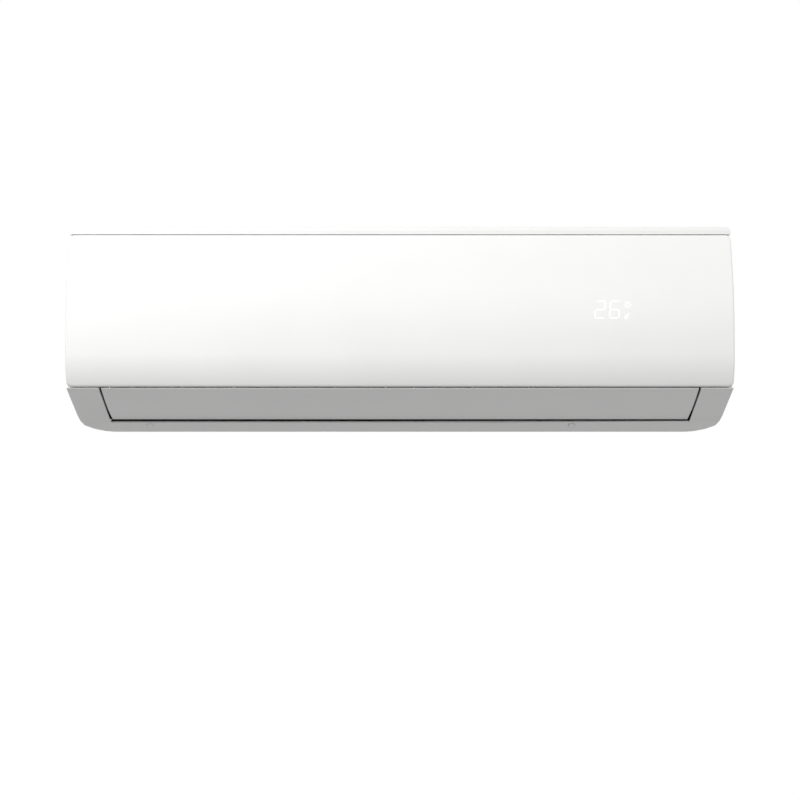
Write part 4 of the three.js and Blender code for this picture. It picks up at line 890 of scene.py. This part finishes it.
x0, x1 = fan["x"]
rotor = [prisms(fanSections(), x0 + fan["bladeIn"], x1 - fan["bladeIn"])]
openings = [fan["pinhole"]] + [fan["opening"]] * (fan["bays"] - 1) + [fan["bore"]]
for x, opening in zip(np.linspace(x0, x1 - fan["disc"], fan["bays"] + 1), openings):
    disc = roundProfile(x, x + fan["disc"], opening, fan["rim"], fan["rimEase"], easeFar=True)
    rotor.append(turned(disc, fan["centre"], 72))
stub = roundProfile(fan["stubEnd"], x0 + fan["into"], fan["pinhole"], fan["stub"], fan["stubEase"])
rotor.append(turned(stub, fan["centre"], 32))
hub = roundProfile(x1 - fan["hubLength"], x1 - fan["into"], fan["bore"], fan["hub"], fan["hubEase"])
rotor.append(turned(hub, fan["centre"], 40))
wheel = creased(outward(meshObject("cross_flow_fan_wheel", *gathered(rotor))), 35)
finished(wheel, "fanAs", "fan", "dark_moulding", "cross_flow_fan")
print("fan made:", fan["blades"], "blades")


# Filter nets: threads along the filters' path and threads across it, woven flat at one pitch.
net = {
    "pitch": 3.2 * mm, "thread": 0.45 * mm, "rim": 5 * mm,
    "spans": {"left": (-355.5 * mm, -74 * mm), "right": (-62 * mm, 216 * mm)},
    "foot": (-187 * mm, -48 * mm), "end": (-58 * mm, 107 * mm),
    "bend": ((-159 * mm, 92 * mm), (-156 * mm, 107 * mm), (-131 * mm, 107 * mm)),
}


# The filters' path in y and z: up the front, round a quadratic bend and back under the top, at even steps.
def filterPath(step):
    t = np.linspace(0, 1, 40)[:, None]
    a, b, c = np.array(net["bend"])
    bend = a * (1 - t) ** 2 + 2 * b * t * (1 - t) + c * t ** 2
    line = np.concatenate([[net["foot"]], bend, [net["end"]]])
    run = np.concatenate([[0], np.cumsum(np.linalg.norm(np.diff(line, axis=0), axis=1))])
    even = np.linspace(net["rim"], run[-1] - net["rim"], int((run[-1] - 2 * net["rim"]) / step) + 1)
    return np.stack([np.interp(even, run, line[:, 0]), np.interp(even, run, line[:, 1])], 1)


# Square threads: those along the path are quads swept over it, those across are prisms along X.
def netMesh(x0, x1):
    path = filterPath(net["pitch"])
    ahead = np.gradient(path, axis=0)
    ahead /= np.linalg.norm(ahead, axis=1, keepdims=True)
    half = net["thread"] / 2
    normal = np.stack([-ahead[:, 1], ahead[:, 0]], 1) * half
    xs = np.arange(x0 + net["rim"], x1 - net["rim"], net["pitch"])
    lower, upper = path - normal, path + normal
    across = np.stack([np.stack([np.broadcast_to(x, len(path)), *side.T], 1)
                       for x, side in ((-half, lower), (half, lower), (half, upper), (-half, upper))], 1)
    sweep = across[None] + np.stack([xs, 0 * xs, 0 * xs], 1)[:, None, None]
    quads = gridFaces(len(path), 4, closeColumns=True)
    faces = (quads[None] + np.arange(len(xs))[:, None, None] * 4 * len(path)).reshape(-1, 4)
    step = ahead * half
    sections = np.stack([lower - step, lower + step, upper + step, upper - step], 1)
    return gathered([(sweep, faces.tolist()), prisms(sections, x0 + net["rim"], x1 - net["rim"])])


for side, span in net["spans"].items():
    threads = outward(meshObject(f"filter_net_{side}", *netMesh(*span), smooth=False))
    finished(threads, "netPp", f"filter_{side}", "grey_moulding")
print("filter nets made")


# Nodes that keep their own mesh: each gets the material of the real piece.
kept = {
    "electrical_box": "coverPs", "electrical_cover": "coverPs",
    "control_board": "card", "display_board": "card", "display_lens": "lens",
    "terminal_block": "blackNylon", "terminal_bracket": "zinc",
    "link_rod_left": "bladePs", "link_rod_right": "bladePs",
    "air_filter_left": "filterPp", "air_filter_right": "filterPp",
}
kept.update({f"upright_blade_{hand}_{k}": "bladePs" for hand in ("left", "right") for k in range(1, 7)})
for name, materialName in kept.items():
    nodes[name].data.materials.clear()
    nodes[name].data.materials.append(materials[materialName])
print("carried-over nodes painted:", len(kept))
